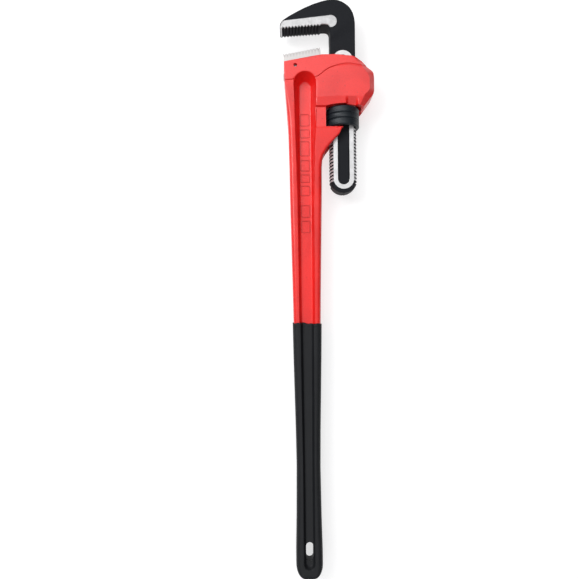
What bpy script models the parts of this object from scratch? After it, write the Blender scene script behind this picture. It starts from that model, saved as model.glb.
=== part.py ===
"""Heavy-duty straight pipe wrench, 48 inch size, as an assembly of separate solids.

The design frame has its X zero on the hook jaw's shank axis, its Y zero at the handle's
lower end and its Z zero at the mid-plane.  Everything is parented to one empty, which moves
that frame so that the wrench lies on its back face with its box centred on the origin.
All driving dimensions are in millimetres; MM turns them into metres.
"""

import math

import bmesh
import bpy
import numpy as np
from mathutils import Vector

MM = 0.001

# ---- whole tool -------------------------------------------------------------------------
BOX_CENTRE_X = -33.5        # middle between the jaw tip and the housing's right side
BOX_CENTRE_Y = 609.0        # half of the overall length of 1218
HEAD_HALF_T = 36.5          # jaw block, the thickest part, and what the tool lies on

# ---- handle -----------------------------------------------------------------------------
HANDLE_X = -79.7            # centre line of the handle
WEB_HALF_T = 8.0
EDGE_R = 7.5                # rounding of the flanges' outer edges
CHANNEL_TOP_Y = 1035.0      # centre of the channel's round upper end
CHANNEL_HALF_W = 13.2       # half width of the channel's floor near the head
CHANNEL_DRAFT = 0.36        # how far the channel's wall leans out for each mm of height
HANG_X = -79.2
HANG_Y = (46.6, 71.0)       # centres of the hang slot's round ends
HANG_R = 9.7                # in the casting; the grip lines it
COAT = 2.0                  # thickness of the grip
GAP = 0.3                   # clearance between pieces that touch
GRIP_TOP_Y = 540.0

# stations along the handle: y, left edge, right edge, half thickness
HANDLE_STATIONS = [
    (2.0, -89.0, -70.4, 12.0),
    (6.0, -94.5, -64.9, 14.0),
    (17.0, -102.0, -57.4, 15.5),
    (34.0, -105.9, -53.5, 16.0),
    (60.0, -105.8, -53.6, 16.0),
    (136.0, -104.1, -55.3, 16.0),
    (237.0, -102.9, -56.5, 16.2),
    (314.0, -103.9, -55.5, 16.5),
    (466.0, -107.1, -52.3, 17.4),
    (593.0, -109.0, -50.4, 18.0),
    (796.0, -112.8, -46.4, 19.5),
    (872.0, -113.7, -46.0, 24.0),
    (945.0, -115.2, -45.6, 29.4),
    (1012.0, -119.4, -45.2, 29.6),
    (1054.0, -122.6, -45.0, 29.6),
]
# stations of the channel's floor: y, half width
CHANNEL_STATIONS = [(568.0, 12.6), (237.0, 10.6), (58.0, 10.6)]

# ---- head -------------------------------------------------------------------------------
CHEEK_HALF_T = 30.0
BOSS_HALF_T = 34.8
TAPER_Y = 945.0             # below this the cheeks thin down to the handle's thickness
TAPER_RATE = 0.0026         # share of their thickness lost for each mm
SEAT_LEFT = (-123.7, 1079.5)
SEAT_RIGHT = (-44.9, 1093.0)
HORN_ROOT = (-55.5, 866.5)
HORN_MID = (-39.9, 907.3)
HORN_TIP = (-5.5, 945.1)
WINDOW_X = -37.2            # left wall of the nut's window
WINDOW_Y = (947.6, 992.2)
TUNNEL_X = (-29.6, 35.5)    # shank's way through the housing; the right side holds the spring
TUNNEL_HALF_Z = 19.9
SPRING_POCKET = (32.0, 57.5, 1013.0, 1066.0)   # x from, x to, y from, y to
FORK_X = -40.0              # the shank swings between the cheeks as far left as this
PIN_XY = (-99.5, 1071.5)
PIN_R = 3.5
PIN_HALF_LENGTH = 31.0

# ---- jaws -------------------------------------------------------------------------------
HEEL_HALF_T = 17.6
HEEL_TONGUE_Y = 1061.0
HEEL_TEETH = ((-124.2, 1103.6), (-47.4, 1116.9))
HOOK_HALF_T = 19.0
HOOK_TEETH = ((-126.5, 1156.2), (-47.5, 1161.1))
TOOTH_DEPTH = 3.2
TOOTH_COUNT = 12

# ---- shank, thread and nut --------------------------------------------------------------
SHANK_HALF_W = 26.5
SHANK_HALF_T = 16.5
SHANK_END_Y = 812.7
NECK_Y = 1138.0             # above this the hook is at its full thickness
PITCH = 7.0
ROOT_R = 26.4
CREST_R = 28.8
THREAD_TOP_Y = 1046.0
THREAD_PHASE_Y = 969.0
HALF_CREST = 1.0            # half of the width of the thread's flat crest
THREAD_PLAY = 0.55
SLOT_HALF_W = 12.2
SLOT_Y = (842.2, 1089.4)    # centres of the round ends of the shank's recess
SLOT_FLOOR_Z = 11.5
NUT_Y = 969.9
NUT_HALF_H = 20.2
NUT_R = 35.2

# ---- spring parts -----------------------------------------------------------------------
LEAF_X = 29.7
LEAF_THICK = 1.6
LEAF_HALF_W = 12.0
LEAF_Y = (1002.0, 1068.0)
LEAF_BAY_X = (30.0, 40.5)   # room for the leaf to back away with the shank
COIL_Y = 1040.0
COIL_R = 8.5
COIL_WIRE_R = 1.3
COIL_TURNS = 5

CAST_RED = (0.72, 0.02, 0.015)
GRIP_BLACK = (0.012, 0.012, 0.013)
FORGED_BLACK = (0.02, 0.021, 0.024)
GROUND_STEEL = (0.62, 0.62, 0.63)
SPRING_STEEL = (0.25, 0.25, 0.27)


# ---- object helpers ---------------------------------------------------------------------
def to_object(bm, name):
    """Close a bmesh into a new object of the scene, with its faces pointing out."""
    bmesh.ops.recalc_face_normals(bm, faces=bm.faces)
    mesh = bpy.data.meshes.new(name)
    bm.to_mesh(mesh)
    bm.free()
    obj = bpy.data.objects.new(name, mesh)
    bpy.context.scene.collection.objects.link(obj)
    return obj


def combine(target, operation, *tools):
    """Apply one exact Boolean of the target with each tool, and remove the tools."""
    for tool in tools:
        modifier = target.modifiers.new("cut", "BOOLEAN")
        modifier.operation = operation
        modifier.solver = "EXACT"
        modifier.object = tool
        depsgraph = bpy.context.evaluated_depsgraph_get()
        mesh = bpy.data.meshes.new_from_object(target.evaluated_get(depsgraph))
        target.modifiers.clear()
        target.data = mesh
        bpy.data.objects.remove(tool)
    return target


def stack(name, rings):
    """Skin equal-length XYZ rings, in millimetres, and cap both ends."""
    bm = bmesh.new()
    rows = [[bm.verts.new(Vector(point) * MM) for point in ring] for ring in rings]
    count = len(rows[0])
    for low, high in zip(rows, rows[1:]):
        for i in range(count):
            j = (i + 1) % count
            bm.faces.new((low[i], low[j], high[j], high[i]))
    bm.faces.new(list(reversed(rows[0])))
    bm.faces.new(rows[-1])
    return to_object(bm, name)


def plate(name, outline, half_t, bevel_xy=0.0, bevel_z=0.0, inner=None):
    """A flat piece of the given outline, with a bevel round both faces.

    inner is the outline of the faces themselves, where the bevel's reach isn't the same.
    """
    inner = inner or inset(outline, bevel_xy)
    levels = [(-half_t, inner), (-half_t + bevel_z, outline),
              (half_t - bevel_z, outline), (half_t, inner)]
    if bevel_z == 0.0:
        levels = [(-half_t, outline), (half_t, outline)]
    return stack(name, [[(x, y, z) for x, y in ring] for z, ring in levels])


def block(name, x, y, half_z):
    """A box from x[0] to x[1] and y[0] to y[1]."""
    return plate(name, [(x[0], y[0]), (x[1], y[0]), (x[1], y[1]), (x[0], y[1])], half_z)


def inset(outline, width):
    """Move each side of a closed outline inwards, with mitred corners."""
    points = [Vector(p) for p in outline]
    area = sum(a.x * b.y - b.x * a.y for a, b in zip(points, points[1:] + points[:1]))
    turn = 1.0 if area > 0 else -1.0
    moved = []
    for i, here in enumerate(points):
        before = (here - points[i - 1]).normalized()
        after = (points[(i + 1) % len(points)] - here).normalized()
        normal_before = Vector((-before.y, before.x)) * turn
        normal_after = Vector((-after.y, after.x)) * turn
        cross = before.x * after.y - before.y * after.x
        if abs(cross) < 0.02:
            moved.append(here + normal_after * width)
            continue
        start_a = here + normal_before * width
        start_b = here + normal_after * width
        reach = ((start_b - start_a).x * after.y - (start_b - start_a).y * after.x) / cross
        moved.append(start_a + before * reach)
    return [(p.x, p.y) for p in moved]


def arc(centre, radius, start_deg, end_deg, steps):
    """Points of a circular arc."""
    angles = np.radians(np.linspace(start_deg, end_deg, steps + 1))
    return [(centre[0] + radius * math.cos(a), centre[1] + radius * math.sin(a)) for a in angles]


def arc_through(start, middle, end, steps):
    """Points of the circular arc through three points, both ends included."""
    (ax, ay), (bx, by), (cx, cy) = start, middle, end
    d = 2 * (ax * (by - cy) + bx * (cy - ay) + cx * (ay - by))
    a2, b2, c2 = ax * ax + ay * ay, bx * bx + by * by, cx * cx + cy * cy
    ux = (a2 * (by - cy) + b2 * (cy - ay) + c2 * (ay - by)) / d
    uy = (a2 * (cx - bx) + b2 * (ax - cx) + c2 * (bx - ax)) / d
    turn = 1.0 if (bx - ax) * (cy - ay) - (by - ay) * (cx - ax) > 0 else -1.0
    first = math.atan2(ay - uy, ax - ux)
    last = math.atan2(cy - uy, cx - ux)
    sweep = (last - first) * turn % (2 * math.pi) * turn
    radius = math.hypot(ax - ux, ay - uy)
    return [(ux + radius * math.cos(first + sweep * t), uy + radius * math.sin(first + sweep * t))
            for t in np.linspace(0, 1, steps + 1)]


def slot_outline(x, y_low, y_high, radius, steps=8):
    """Outline of a slot with round ends along Y."""
    return (arc((x, y_high), radius, 0, 180, steps) + arc((x, y_low), radius, 180, 360, steps))


def cylinder(name, centre, radius, half_length, axis="z", sides=24):
    """A round bar about the Z or the X axis through its centre."""
    rings = []
    for end in (-half_length, half_length):
        circle = arc((0, 0), radius, 0, 360 - 360 / sides, sides - 1)
        if axis == "z":
            rings.append([(centre[0] + u, centre[1] + v, centre[2] + end) for u, v in circle])
        else:
            rings.append([(centre[0] + end, centre[1] + u, centre[2] + v) for u, v in circle])
    return stack(name, rings)


def finish(obj, colour, roughness, metallic, datum, pivot=(0.0, 0.0, 0.0)):
    """Give a solid its material, put its origin on its pivot and hang it on the datum."""
    origin = Vector(pivot) * MM
    for vertex in obj.data.vertices:
        vertex.co -= origin
    obj.location = origin
    obj.parent = datum
    material = bpy.data.materials.new(obj.name)
    material.use_nodes = True
    shader = material.node_tree.nodes["Principled BSDF"]
    shader.inputs["Base Color"].default_value = (*colour, 1.0)
    shader.inputs["Roughness"].default_value = roughness
    shader.inputs["Metallic"].default_value = metallic
    obj.data.materials.clear()
    obj.data.materials.append(material)
    obj.data.shade_smooth()
    obj.data.set_sharp_from_angle(angle=math.radians(30))
    return obj


# ---- handle -----------------------------------------------------------------------------
def bar_ring(y, left, right, half_t, corner):
    """Rounded rectangle across the handle at one station."""
    half_w = (right - left) / 2
    middle = (right + left) / 2
    ring = []
    for sx, sz, start in ((1, 1, 0), (-1, 1, 90), (-1, -1, 180), (1, -1, 270)):
        centre = (middle + sx * (half_w - corner), sz * (half_t - corner))
        ring += [(x, y, z) for x, z in arc(centre, corner, start, start + 90, 3)]
    return ring


def handle_beam(name, grow, top_y=None):
    """The I-section beam of the handle, made larger on every side by grow.

    Its channels and its hang slot get smaller by the same amount, so a grown beam is
    the outside of a coat on the plain one.
    """
    stations = [s for s in HANDLE_STATIONS if top_y is None or s[0] < top_y]
    if top_y is not None:
        table = np.array(HANDLE_STATIONS)
        stations.append((top_y, *[np.interp(top_y, table[:, 0], table[:, k]) for k in (1, 2, 3)]))
    rings = []
    for index, (y, left, right, half_t) in enumerate(stations):
        low = grow if index == 0 else 0.0
        rings.append(bar_ring(y - low, left - grow, right + grow, half_t + grow,
                              EDGE_R + grow))
    beam = stack(name, rings)
    hang = plate("hang", slot_outline(HANG_X, *HANG_Y, HANG_R - grow), 40)
    return combine(beam, "DIFFERENCE", channel(grow, 1), channel(grow, -1), hang)


def channel(grow, side):
    """Cutter for the long channel in one face of the handle."""
    floor_z = WEB_HALF_T + grow
    rings = []
    for z in (floor_z, 50.0):
        spread = (z - floor_z) * CHANNEL_DRAFT - grow
        top = arc((HANDLE_X, CHANNEL_TOP_Y), CHANNEL_HALF_W + spread, 0, 180, 10)
        left = [(HANDLE_X - w - spread, y) for y, w in CHANNEL_STATIONS]
        low_y, low_w = CHANNEL_STATIONS[-1]
        low = arc((HANDLE_X, low_y), low_w + spread, 180, 360, 8)[1:-1]
        right = [(HANDLE_X + w + spread, y) for y, w in reversed(CHANNEL_STATIONS)]
        rings.append([(x, y, side * z) for x, y in top + left + low + right])
    return stack("channel", rings)


# ---- head of the casting ----------------------------------------------------------------
def head_outline():
    """Right side and top of the head, from the lip beside the nut round to the seat."""
    return [(36.8, 985.6), (39.8, 985.6), (62.6, 1016.0), (64.0, 1022.0), (64.0, 1050.0),
            (62.6, 1059.0), (60.0, 1062.8), (38.0, 1079.5), (22.0, 1088.2), (-17.9, 1093.2),
            SEAT_RIGHT, SEAT_LEFT]


def head_face(scale):
    """The same points on the face, where the bulge's side is drawn in towards its middle."""
    lip, bulge, top = head_outline()[:2], head_outline()[2:9], head_outline()[9:]
    middle_y = 1040.0
    drawn_in = [(x * scale, middle_y + (y - middle_y) * scale) for x, y in bulge]
    return [(x - 0.8 * i, y + 5.0) for i, (x, y) in enumerate(lip)] + drawn_in + top


def cheek_plate():
    """Lower level of the head with the horn that carries the nut."""
    horn = arc_through(HORN_ROOT, HORN_MID, HORN_TIP, 8)
    before = ([(-113.9, 880.0), (-80.0, 872.0)] + horn
              + [(-5.5, WINDOW_Y[0]), (WINDOW_X, WINDOW_Y[0]), (WINDOW_X, WINDOW_Y[1]),
                 (36.8, WINDOW_Y[1])])
    after = [(-119.4, 1012.0), (-115.2, 949.0)]
    cheek = plate("cheek", before + head_outline() + after, CHEEK_HALF_T, bevel_z=9.0,
                  inner=before + head_face(0.9) + after)
    return thin_towards_handle(cheek)


def thin_towards_handle(obj):
    """Slope both faces below TAPER_Y, so that they run out level with the handle's flanges."""
    bm = bmesh.new()
    bm.from_mesh(obj.data)
    bmesh.ops.bisect_plane(bm, geom=bm.verts[:] + bm.edges[:] + bm.faces[:],
                           plane_co=(0, TAPER_Y * MM, 0), plane_no=(0, 1, 0))
    for vertex in bm.verts:
        below = max(0.0, TAPER_Y * MM - vertex.co.y)
        vertex.co.z *= 1.0 - below / MM * TAPER_RATE
    bm.to_mesh(obj.data)
    bm.free()
    return obj


def boss():
    """Raised level round the shank's tunnel and the spring."""
    before = [(-57.4, 1006.2), (5.8, 1010.4), (58.4, 1010.4)]
    before_face = [(-57.4, 1007.4), (5.8, 1011.6), (47.0, 1011.6)]
    after = [(-122.4, 1056.0), (-57.4, 1056.0)]
    return plate("boss", before + head_outline()[2:] + after, BOSS_HALF_T, bevel_z=11.0,
                 inner=before_face + head_face(0.83)[2:] + after)


def jaw_block():
    """Highest level, under the heel jaw, with its curved lower edge."""
    lower = (arc_through((-116.9, 1041.5), (-109.0, 1040.0), (-101.5, 1041.4), 3)
             + [(-62.5, 1045.1)] + arc_through((-51.2, 1050.1), (-22.3, 1068.6), (12.6, 1074.4), 7))
    outline = lower + [(30.5, 1072.5), (20.0, 1080.5), (-17.9, 1092.8), (-44.9, 1092.6),
                       (-123.2, 1079.1), (-121.0, 1052.0)]
    return plate("jaw_block", outline, HEAD_HALF_T, bevel_xy=1.2, bevel_z=1.2)


def handle_casting(datum):
    """Handle and housing in one iron casting."""
    casting = combine(handle_beam("handle_casting", 0.0), "UNION", cheek_plate(), boss(),
                      jaw_block())
    recess = [channel(0.0, side) for side in (1, -1)]
    tunnel = block("tunnel", TUNNEL_X, (985.0, 1100.0), TUNNEL_HALF_Z)
    pocket = block("pocket", SPRING_POCKET[:2], SPRING_POCKET[2:], 13.5)
    leaf_bay = block("leaf_bay", LEAF_BAY_X, (985.0, LEAF_Y[1] + 3.0), LEAF_HALF_W + 2.0)
    fork = block("fork", (FORK_X, 70.0), (840.0, WINDOW_Y[1] - 0.4), TUNNEL_HALF_Z)
    left, right = SEAT_LEFT[0] - 5, SEAT_RIGHT[0] - 1.2
    seat = block("seat", (left, right), (HEEL_TONGUE_Y - GAP, 1100.0), HEEL_HALF_T + GAP)
    pin_hole = cylinder("pin_hole", (*PIN_XY, 0), PIN_R + GAP, 60)
    combine(casting, "DIFFERENCE", *recess, tunnel, pocket, leaf_bay, fork, seat, pin_hole)
    return finish(casting, CAST_RED, 0.38, 0.0, datum)


def grip_sleeve(datum):
    """Dipped vinyl coat round the handle's lower part, with its lined hang slot."""
    sleeve = handle_beam("grip_sleeve", COAT, GRIP_TOP_Y)
    inside = handle_beam("inside", GAP, GRIP_TOP_Y + 5)
    combine(sleeve, "DIFFERENCE", inside)
    return finish(sleeve, GRIP_BLACK, 0.55, 0.0, datum)


# ---- jaws -------------------------------------------------------------------------------
def tooth_comb(start, end, side):
    """Cutter with triangular ridges that cuts one row of teeth along a straight face."""
    start, end = Vector(start), Vector(end)
    along = (end - start) / TOOTH_COUNT
    normal = Vector((-along.y, along.x)).normalized() * side
    outline = [start - normal * 12 - along]
    outline.append(start - normal * 0.05 - along)
    for i in range(TOOTH_COUNT):
        outline.append(start + along * i + normal * (-0.05))
        outline.append(start + along * (i + 0.42) + normal * TOOTH_DEPTH)
    outline += [end - normal * 0.05, end - normal * 0.05 + along, end - normal * 12 + along]
    return plate("comb", [(p.x, p.y) for p in outline], 30)


def heel_jaw(datum):
    """Hardened insert, let into the casting and held by the pin."""
    left, right = SEAT_LEFT[0] - 0.6, SEAT_RIGHT[0] - 1.5
    low, high = HEEL_TEETH
    outline = [(left, HEEL_TONGUE_Y), (right, HEEL_TONGUE_Y), (right, 1102.0), high, low]
    jaw = plate("heel_jaw", outline, HEEL_HALF_T, bevel_xy=0.5, bevel_z=0.5)
    hole = cylinder("hole", (*PIN_XY, 0), PIN_R + GAP, 60)
    combine(jaw, "DIFFERENCE", tooth_comb(low, high, -1), hole)
    return finish(jaw, GROUND_STEEL, 0.3, 1.0, datum)


def heel_jaw_pin(datum):
    """Cross pin of the heel jaw, sunk below the casting's faces."""
    pin = cylinder("heel_jaw_pin", (*PIN_XY, 0), PIN_R, PIN_HALF_LENGTH)
    return finish(pin, SPRING_STEEL, 0.45, 1.0, datum, pivot=(*PIN_XY, 0))


def hook_outline():
    """Hook of the upper jaw, down to the neck on the shank."""
    low, high = HOOK_TEETH
    back = arc_through((-61.2, 1208.6), (-36.0, 1216.2), (-18.0, 1218.0), 4)
    crown = arc_through((-18.0, 1218.0), (13.4, 1204.0), (SHANK_HALF_W, 1172.0), 8)[1:]
    tip = [low, (-131.0, 1159.0), (-130.4, 1167.0), (-126.2, 1174.6), (-112.0, 1184.0)]
    under = [(-SHANK_HALF_W + 0.5, 1163.2), high]
    neck = [(SHANK_HALF_W, NECK_Y), (-SHANK_HALF_W + 0.5, NECK_Y)]
    return list(reversed(tip[1:] + back + crown + neck + under + [low]))


def helical_rod(name, root_r, crest_r, half_crest, y_low, y_high, sides):
    """Right-hand threaded rod about Y.  Each thread has a flat crest between two flanks."""
    flank = (crest_r - root_r) * 0.35
    profile = [(-half_crest - flank, root_r), (-half_crest, crest_r),
               (half_crest, crest_r), (half_crest + flank, root_r)]
    first = math.floor((y_low - THREAD_PHASE_Y) / PITCH)
    last = math.ceil((y_high - THREAD_PHASE_Y) / PITCH)
    bm = bmesh.new()
    columns = []
    for side in range(sides):
        angle = 2 * math.pi * side / sides
        lift = PITCH * side / sides + THREAD_PHASE_Y
        columns.append([bm.verts.new(Vector((r * math.sin(angle), lift + turn * PITCH + y,
                                             r * math.cos(angle))) * MM)
                        for turn in range(first, last) for y, r in profile])
    rows = len(columns[0])
    for side in range(sides):
        here, there = columns[side], columns[(side + 1) % sides]
        skip = len(profile) if side == sides - 1 else 0
        for row in range(rows - 1 - skip):
            bm.faces.new((here[row], here[row + 1], there[row + 1 + skip], there[row + skip]))
    for row, seam in ((0, columns[0][1:5]), (-1, columns[-1][-5:-1])):
        rim = [column[row] for column in columns]
        rim += list(reversed(seam))
        middle_y = sum(v.co.y for v in rim) / len(rim)
        hub = bm.verts.new((0.0, middle_y, 0.0))
        for a, b in zip(rim, rim[1:] + rim[:1]):
            bm.faces.new((a, b, hub))
    return to_object(bm, name)


def hook_jaw(datum, pivot):
    """Forged hook with its flat shank, threaded on both edges."""
    jaw = plate("hook_jaw", hook_outline(), HOOK_HALF_T, bevel_xy=2.5, bevel_z=2.5)
    low, high = HOOK_TEETH
    combine(jaw, "DIFFERENCE", tooth_comb(low, high, 1))
    shank = block("shank", (-SHANK_HALF_W + 0.5, SHANK_HALF_W),
                  (THREAD_TOP_Y, NECK_Y + 12.0), SHANK_HALF_T)
    rod = helical_rod("rod", ROOT_R, CREST_R, HALF_CREST, SHANK_END_Y - 20,
                      THREAD_TOP_Y + 25, 24)
    end = [(CREST_R, THREAD_TOP_Y + 6.0), (-CREST_R, THREAD_TOP_Y + 6.0)]
    end += arc((0, SHANK_END_Y + CREST_R + 1.0), CREST_R + 1.0, 180, 360, 12)
    combine(rod, "INTERSECT", plate("flats", end, SHANK_HALF_T))
    combine(jaw, "UNION", shank, rod)
    for side in (1, -1):
        outline = slot_outline(0.0, *SLOT_Y, SLOT_HALF_W)
        rings = [[(x, y, side * z) for x, y in outline] for z in (SLOT_FLOOR_Z, 40.0)]
        combine(jaw, "DIFFERENCE", stack("recess", rings))
    return finish(jaw, FORGED_BLACK, 0.5, 0.6, datum, pivot)


def adjusting_nut(datum, pivot):
    """Ring nut with a full internal thread, which lifts and lowers the hook jaw."""
    rim = 4.0
    profile = [(NUT_R - rim, -NUT_HALF_H), (NUT_R, -NUT_HALF_H + rim),
               (NUT_R, NUT_HALF_H - rim), (NUT_R - rim, NUT_HALF_H)]
    sides = 40
    rings = []
    for radius, y in profile:
        rings.append([(radius * math.sin(a), NUT_Y + y, radius * math.cos(a))
                      for a in np.linspace(0, 2 * math.pi, sides, endpoint=False)])
    nut = stack("adjusting_nut", rings)
    bore = helical_rod("bore", ROOT_R + THREAD_PLAY, CREST_R + THREAD_PLAY,
                       HALF_CREST + THREAD_PLAY, NUT_Y - NUT_HALF_H - 9,
                       NUT_Y + NUT_HALF_H + 9, 32)
    combine(nut, "DIFFERENCE", bore)
    return finish(nut, FORGED_BLACK, 0.45, 0.7, datum, pivot)


# ---- spring parts -----------------------------------------------------------------------
def flat_spring(datum, pivot):
    """Leaf that bears on the shank's edge, bent away from it at both ends."""
    bend, rise = 9.0, 2.2
    low, high = LEAF_Y
    inner = [(LEAF_X + rise, low), (LEAF_X, low + bend), (LEAF_X, high - bend),
             (LEAF_X + rise, high)]
    outer = [(x + LEAF_THICK, y) for x, y in inner]
    leaf = plate("flat_spring", inner + list(reversed(outer)), LEAF_HALF_W)
    hole = cylinder("hole", (LEAF_X, COIL_Y, 0), 2.3, 8, axis="x", sides=16)
    combine(leaf, "DIFFERENCE", hole)
    return finish(leaf, SPRING_STEEL, 0.35, 1.0, datum, pivot)


def spring_rivet(datum, pivot):
    """Rivet through the leaf, whose long shank guides the coil spring."""
    start = LEAF_X + 0.2
    shank = cylinder("spring_rivet", (start + 8.0, COIL_Y, 0), 2.0, 8.0, axis="x", sides=16)
    head_x = LEAF_X + LEAF_THICK + GAP + 1.2
    head = cylinder("head", (head_x, COIL_Y, 0), 5.0, 1.2, axis="x", sides=20)
    return finish(combine(shank, "UNION", head), SPRING_STEEL, 0.4, 1.0, datum, pivot)


def coil_spring(datum):
    """Compression spring between the rivet's head and the end of its pocket."""
    first = LEAF_X + LEAF_THICK + GAP + 2.4 + GAP + COIL_WIRE_R
    last = SPRING_POCKET[1] - GAP - COIL_WIRE_R
    around, steps_per_turn = 6, 12
    rings = []
    for step in range(COIL_TURNS * steps_per_turn + 1):
        share = step / (COIL_TURNS * steps_per_turn)
        angle = 2 * math.pi * COIL_TURNS * share
        x = first + (last - first) * share
        outward = (math.cos(angle), math.sin(angle))
        ring = []
        for u, v in arc((0, 0), COIL_WIRE_R, 0, 360 - 360 / around, around - 1):
            ring.append((x + v, COIL_Y + (COIL_R + u) * outward[0], (COIL_R + u) * outward[1]))
        rings.append(ring)
    return finish(stack("coil_spring", rings), SPRING_STEEL, 0.35, 1.0, datum)


def main():
    """Build the wrench in an empty scene."""
    for old in list(bpy.data.objects):
        bpy.data.objects.remove(old)
    datum = bpy.data.objects.new("datum", None)
    bpy.context.scene.collection.objects.link(datum)
    datum.location = Vector((-BOX_CENTRE_X, -BOX_CENTRE_Y, HEAD_HALF_T)) * MM
    pivot = (0.0, NUT_Y, 0.0)
    handle_casting(datum)
    grip_sleeve(datum)
    heel_jaw(datum)
    heel_jaw_pin(datum)
    hook_jaw(datum, pivot)
    adjusting_nut(datum, pivot)
    flat_spring(datum, pivot)
    spring_rivet(datum, pivot)
    coil_spring(datum)


main()
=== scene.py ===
"""Looks of a heavy-duty straight pipe wrench, dressed on its CAD frame.

Lengths inside the pieces are millimetres in the design frame.  Its X zero is on the hook
jaw's shank axis, its Y zero at the handle's lower end and its Z zero on the mid-plane.
Skin.place moves them into the row, in metres.
"""

from __future__ import annotations

import logging
import math
from abc import ABC, abstractmethod
from dataclasses import dataclass
from enum import Enum
from typing import Union

import bmesh
import bpy
import numpy as np
from numpy.typing import NDArray
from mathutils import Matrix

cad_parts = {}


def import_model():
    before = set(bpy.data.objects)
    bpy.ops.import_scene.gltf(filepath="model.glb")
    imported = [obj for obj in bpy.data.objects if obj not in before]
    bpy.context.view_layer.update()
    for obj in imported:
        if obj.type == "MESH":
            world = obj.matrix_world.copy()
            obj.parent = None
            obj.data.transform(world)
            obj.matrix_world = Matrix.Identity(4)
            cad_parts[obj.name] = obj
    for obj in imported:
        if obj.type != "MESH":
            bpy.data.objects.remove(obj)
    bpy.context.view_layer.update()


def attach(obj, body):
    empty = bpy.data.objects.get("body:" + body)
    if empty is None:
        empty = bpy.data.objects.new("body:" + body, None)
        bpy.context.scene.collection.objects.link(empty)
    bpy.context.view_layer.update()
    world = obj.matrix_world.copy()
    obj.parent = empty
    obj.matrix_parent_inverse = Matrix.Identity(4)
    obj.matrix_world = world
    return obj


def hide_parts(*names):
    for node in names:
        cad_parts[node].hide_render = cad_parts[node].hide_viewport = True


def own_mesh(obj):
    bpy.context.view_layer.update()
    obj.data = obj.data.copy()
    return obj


Floats = NDArray[np.float64]
Ints = NDArray[np.int64]
Point = tuple[float, float]
Rgb = tuple[float, float, float]
Box = tuple[Point, Point, float]

MM = 0.001
ROW_SHIFT = np.array([33.5, -609.0, 36.5])
SHARP_ANGLE = math.radians(32.0)
WELD = 1e-5
QUARTER = math.pi / 2
KNOTS: tuple[float, ...] = (0, 1, 2, 3, 4, 5, 6, 7)
THROUGH = 60.0
PIN_CENTRE: Point = (-99.5, 1071.5)
PIN_BORE = 3.8
WHITE: Rgb = (1.0, 1.0, 1.0)

log = logging.getLogger("wrench")


# ---- shaping arithmetic -------------------------------------------------------------------
def ease(value: Floats, low: float, high: float) -> Floats:
    """Smooth ramp from 0 at low to 1 at high.

    Args:
        value: Where to read the ramp.
        low: Value at which it leaves 0.
        high: Value at which it reaches 1.

    Returns:
        3t^2 - 2t^3, with t the clamped share of the way from low to high.
    """
    t = np.clip((value - low) / (high - low), 0.0, 1.0)
    return t * t * (3.0 - 2.0 * t)


def soft_min(a: Floats, b: Floats, blend: float) -> Floats:
    """Smaller of two heights with a fillet where they cross.

    Args:
        a: First height.
        b: Second height.
        blend: Difference in height over which the fillet runs.

    Returns:
        The minimum, lowered by h^2 * blend / 4, with h the closeness of the two heights.
    """
    near = np.maximum(blend - np.abs(a - b), 0.0) / blend
    return np.minimum(a, b) - near * near * blend / 4.0


def soft_max(a: Floats, b: Floats, blend: float) -> Floats:
    """Larger of two heights with a fillet where they cross.

    Args:
        a: First height.
        b: Second height.
        blend: Difference in height over which the fillet runs.

    Returns:
        The filleted maximum.
    """
    return -soft_min(-a, -b, blend)


def quarter_round(share: Floats) -> Floats:
    """Drop of a quarter circle of radius 1 at a share of its width."""
    return 1.0 - np.sqrt(np.maximum(1.0 - np.clip(share, 0.0, 1.0) ** 2, 0.0))


def slot_distance(x: Floats, y: Floats, centre_x: float, ends: Point) -> Floats:
    """Distance from the middle line of a slot that runs along Y.

    Args:
        x: Horizontal positions.
        y: Vertical positions.
        centre_x: The slot's centre line.
        ends: Y of the centres of its two round ends.

    Returns:
        Distance to the segment between the two end centres.
    """
    return np.hypot(x - centre_x, y - np.clip(y, *ends))


def spaced(stops: tuple[float, ...], counts: tuple[int, ...]) -> Floats:
    """Parameter values that hit every stop.

    Args:
        stops: Values that must be met, in order.
        counts: Number of steps between each two of them.

    Returns:
        All values, with both ends.
    """
    parts = [np.linspace(a, b, n, endpoint=False) for a, b, n in zip(stops, stops[1:], counts)]
    return np.concatenate([*parts, [stops[-1]]])


def between(knots: Floats, u: Floats) -> Floats:
    """Lay columns between knots.

    Args:
        knots: Knots of every row of a net, as an array with one line for each knot.
        u: Column parameters, whose whole numbers fall on the knots.

    Returns:
        Grid with a line for each row of the net.
    """
    column = np.minimum(u.astype(int), len(knots) - 2)
    share = (u - column)[None, :]
    return knots[column].T * (1 - share) + knots[column + 1].T * share


def bar_columns(counts: tuple[int, ...]) -> Floats:
    """Column parameters across the bar, drawn together towards its two rounded edges.

    Args:
        counts: Number of steps between each two knots.

    Returns:
        The parameters, from 0 to 7.
    """
    u = spaced(KNOTS, counts)
    u = np.where(u < 1, 1 - np.cos(u * QUARTER), u)
    return np.where(u > 6, 6 + np.sin(np.clip(u - 6, 0, 1) * QUARTER), u)


def circle(steps: int, start: float = 0.0) -> Floats:
    """Directions round a full turn.

    Args:
        steps: How many.
        start: Angle of the first, in radians.

    Returns:
        N by 2 array of cosines and sines.
    """
    turn = np.linspace(0.0, 2 * math.pi, steps, endpoint=False) + start
    return np.stack((np.cos(turn), np.sin(turn)), -1)


def closed(numbers: Ints) -> Ints:
    """Rows with the first one repeated after the last."""
    return np.concatenate([numbers, numbers[:1]])


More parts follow.
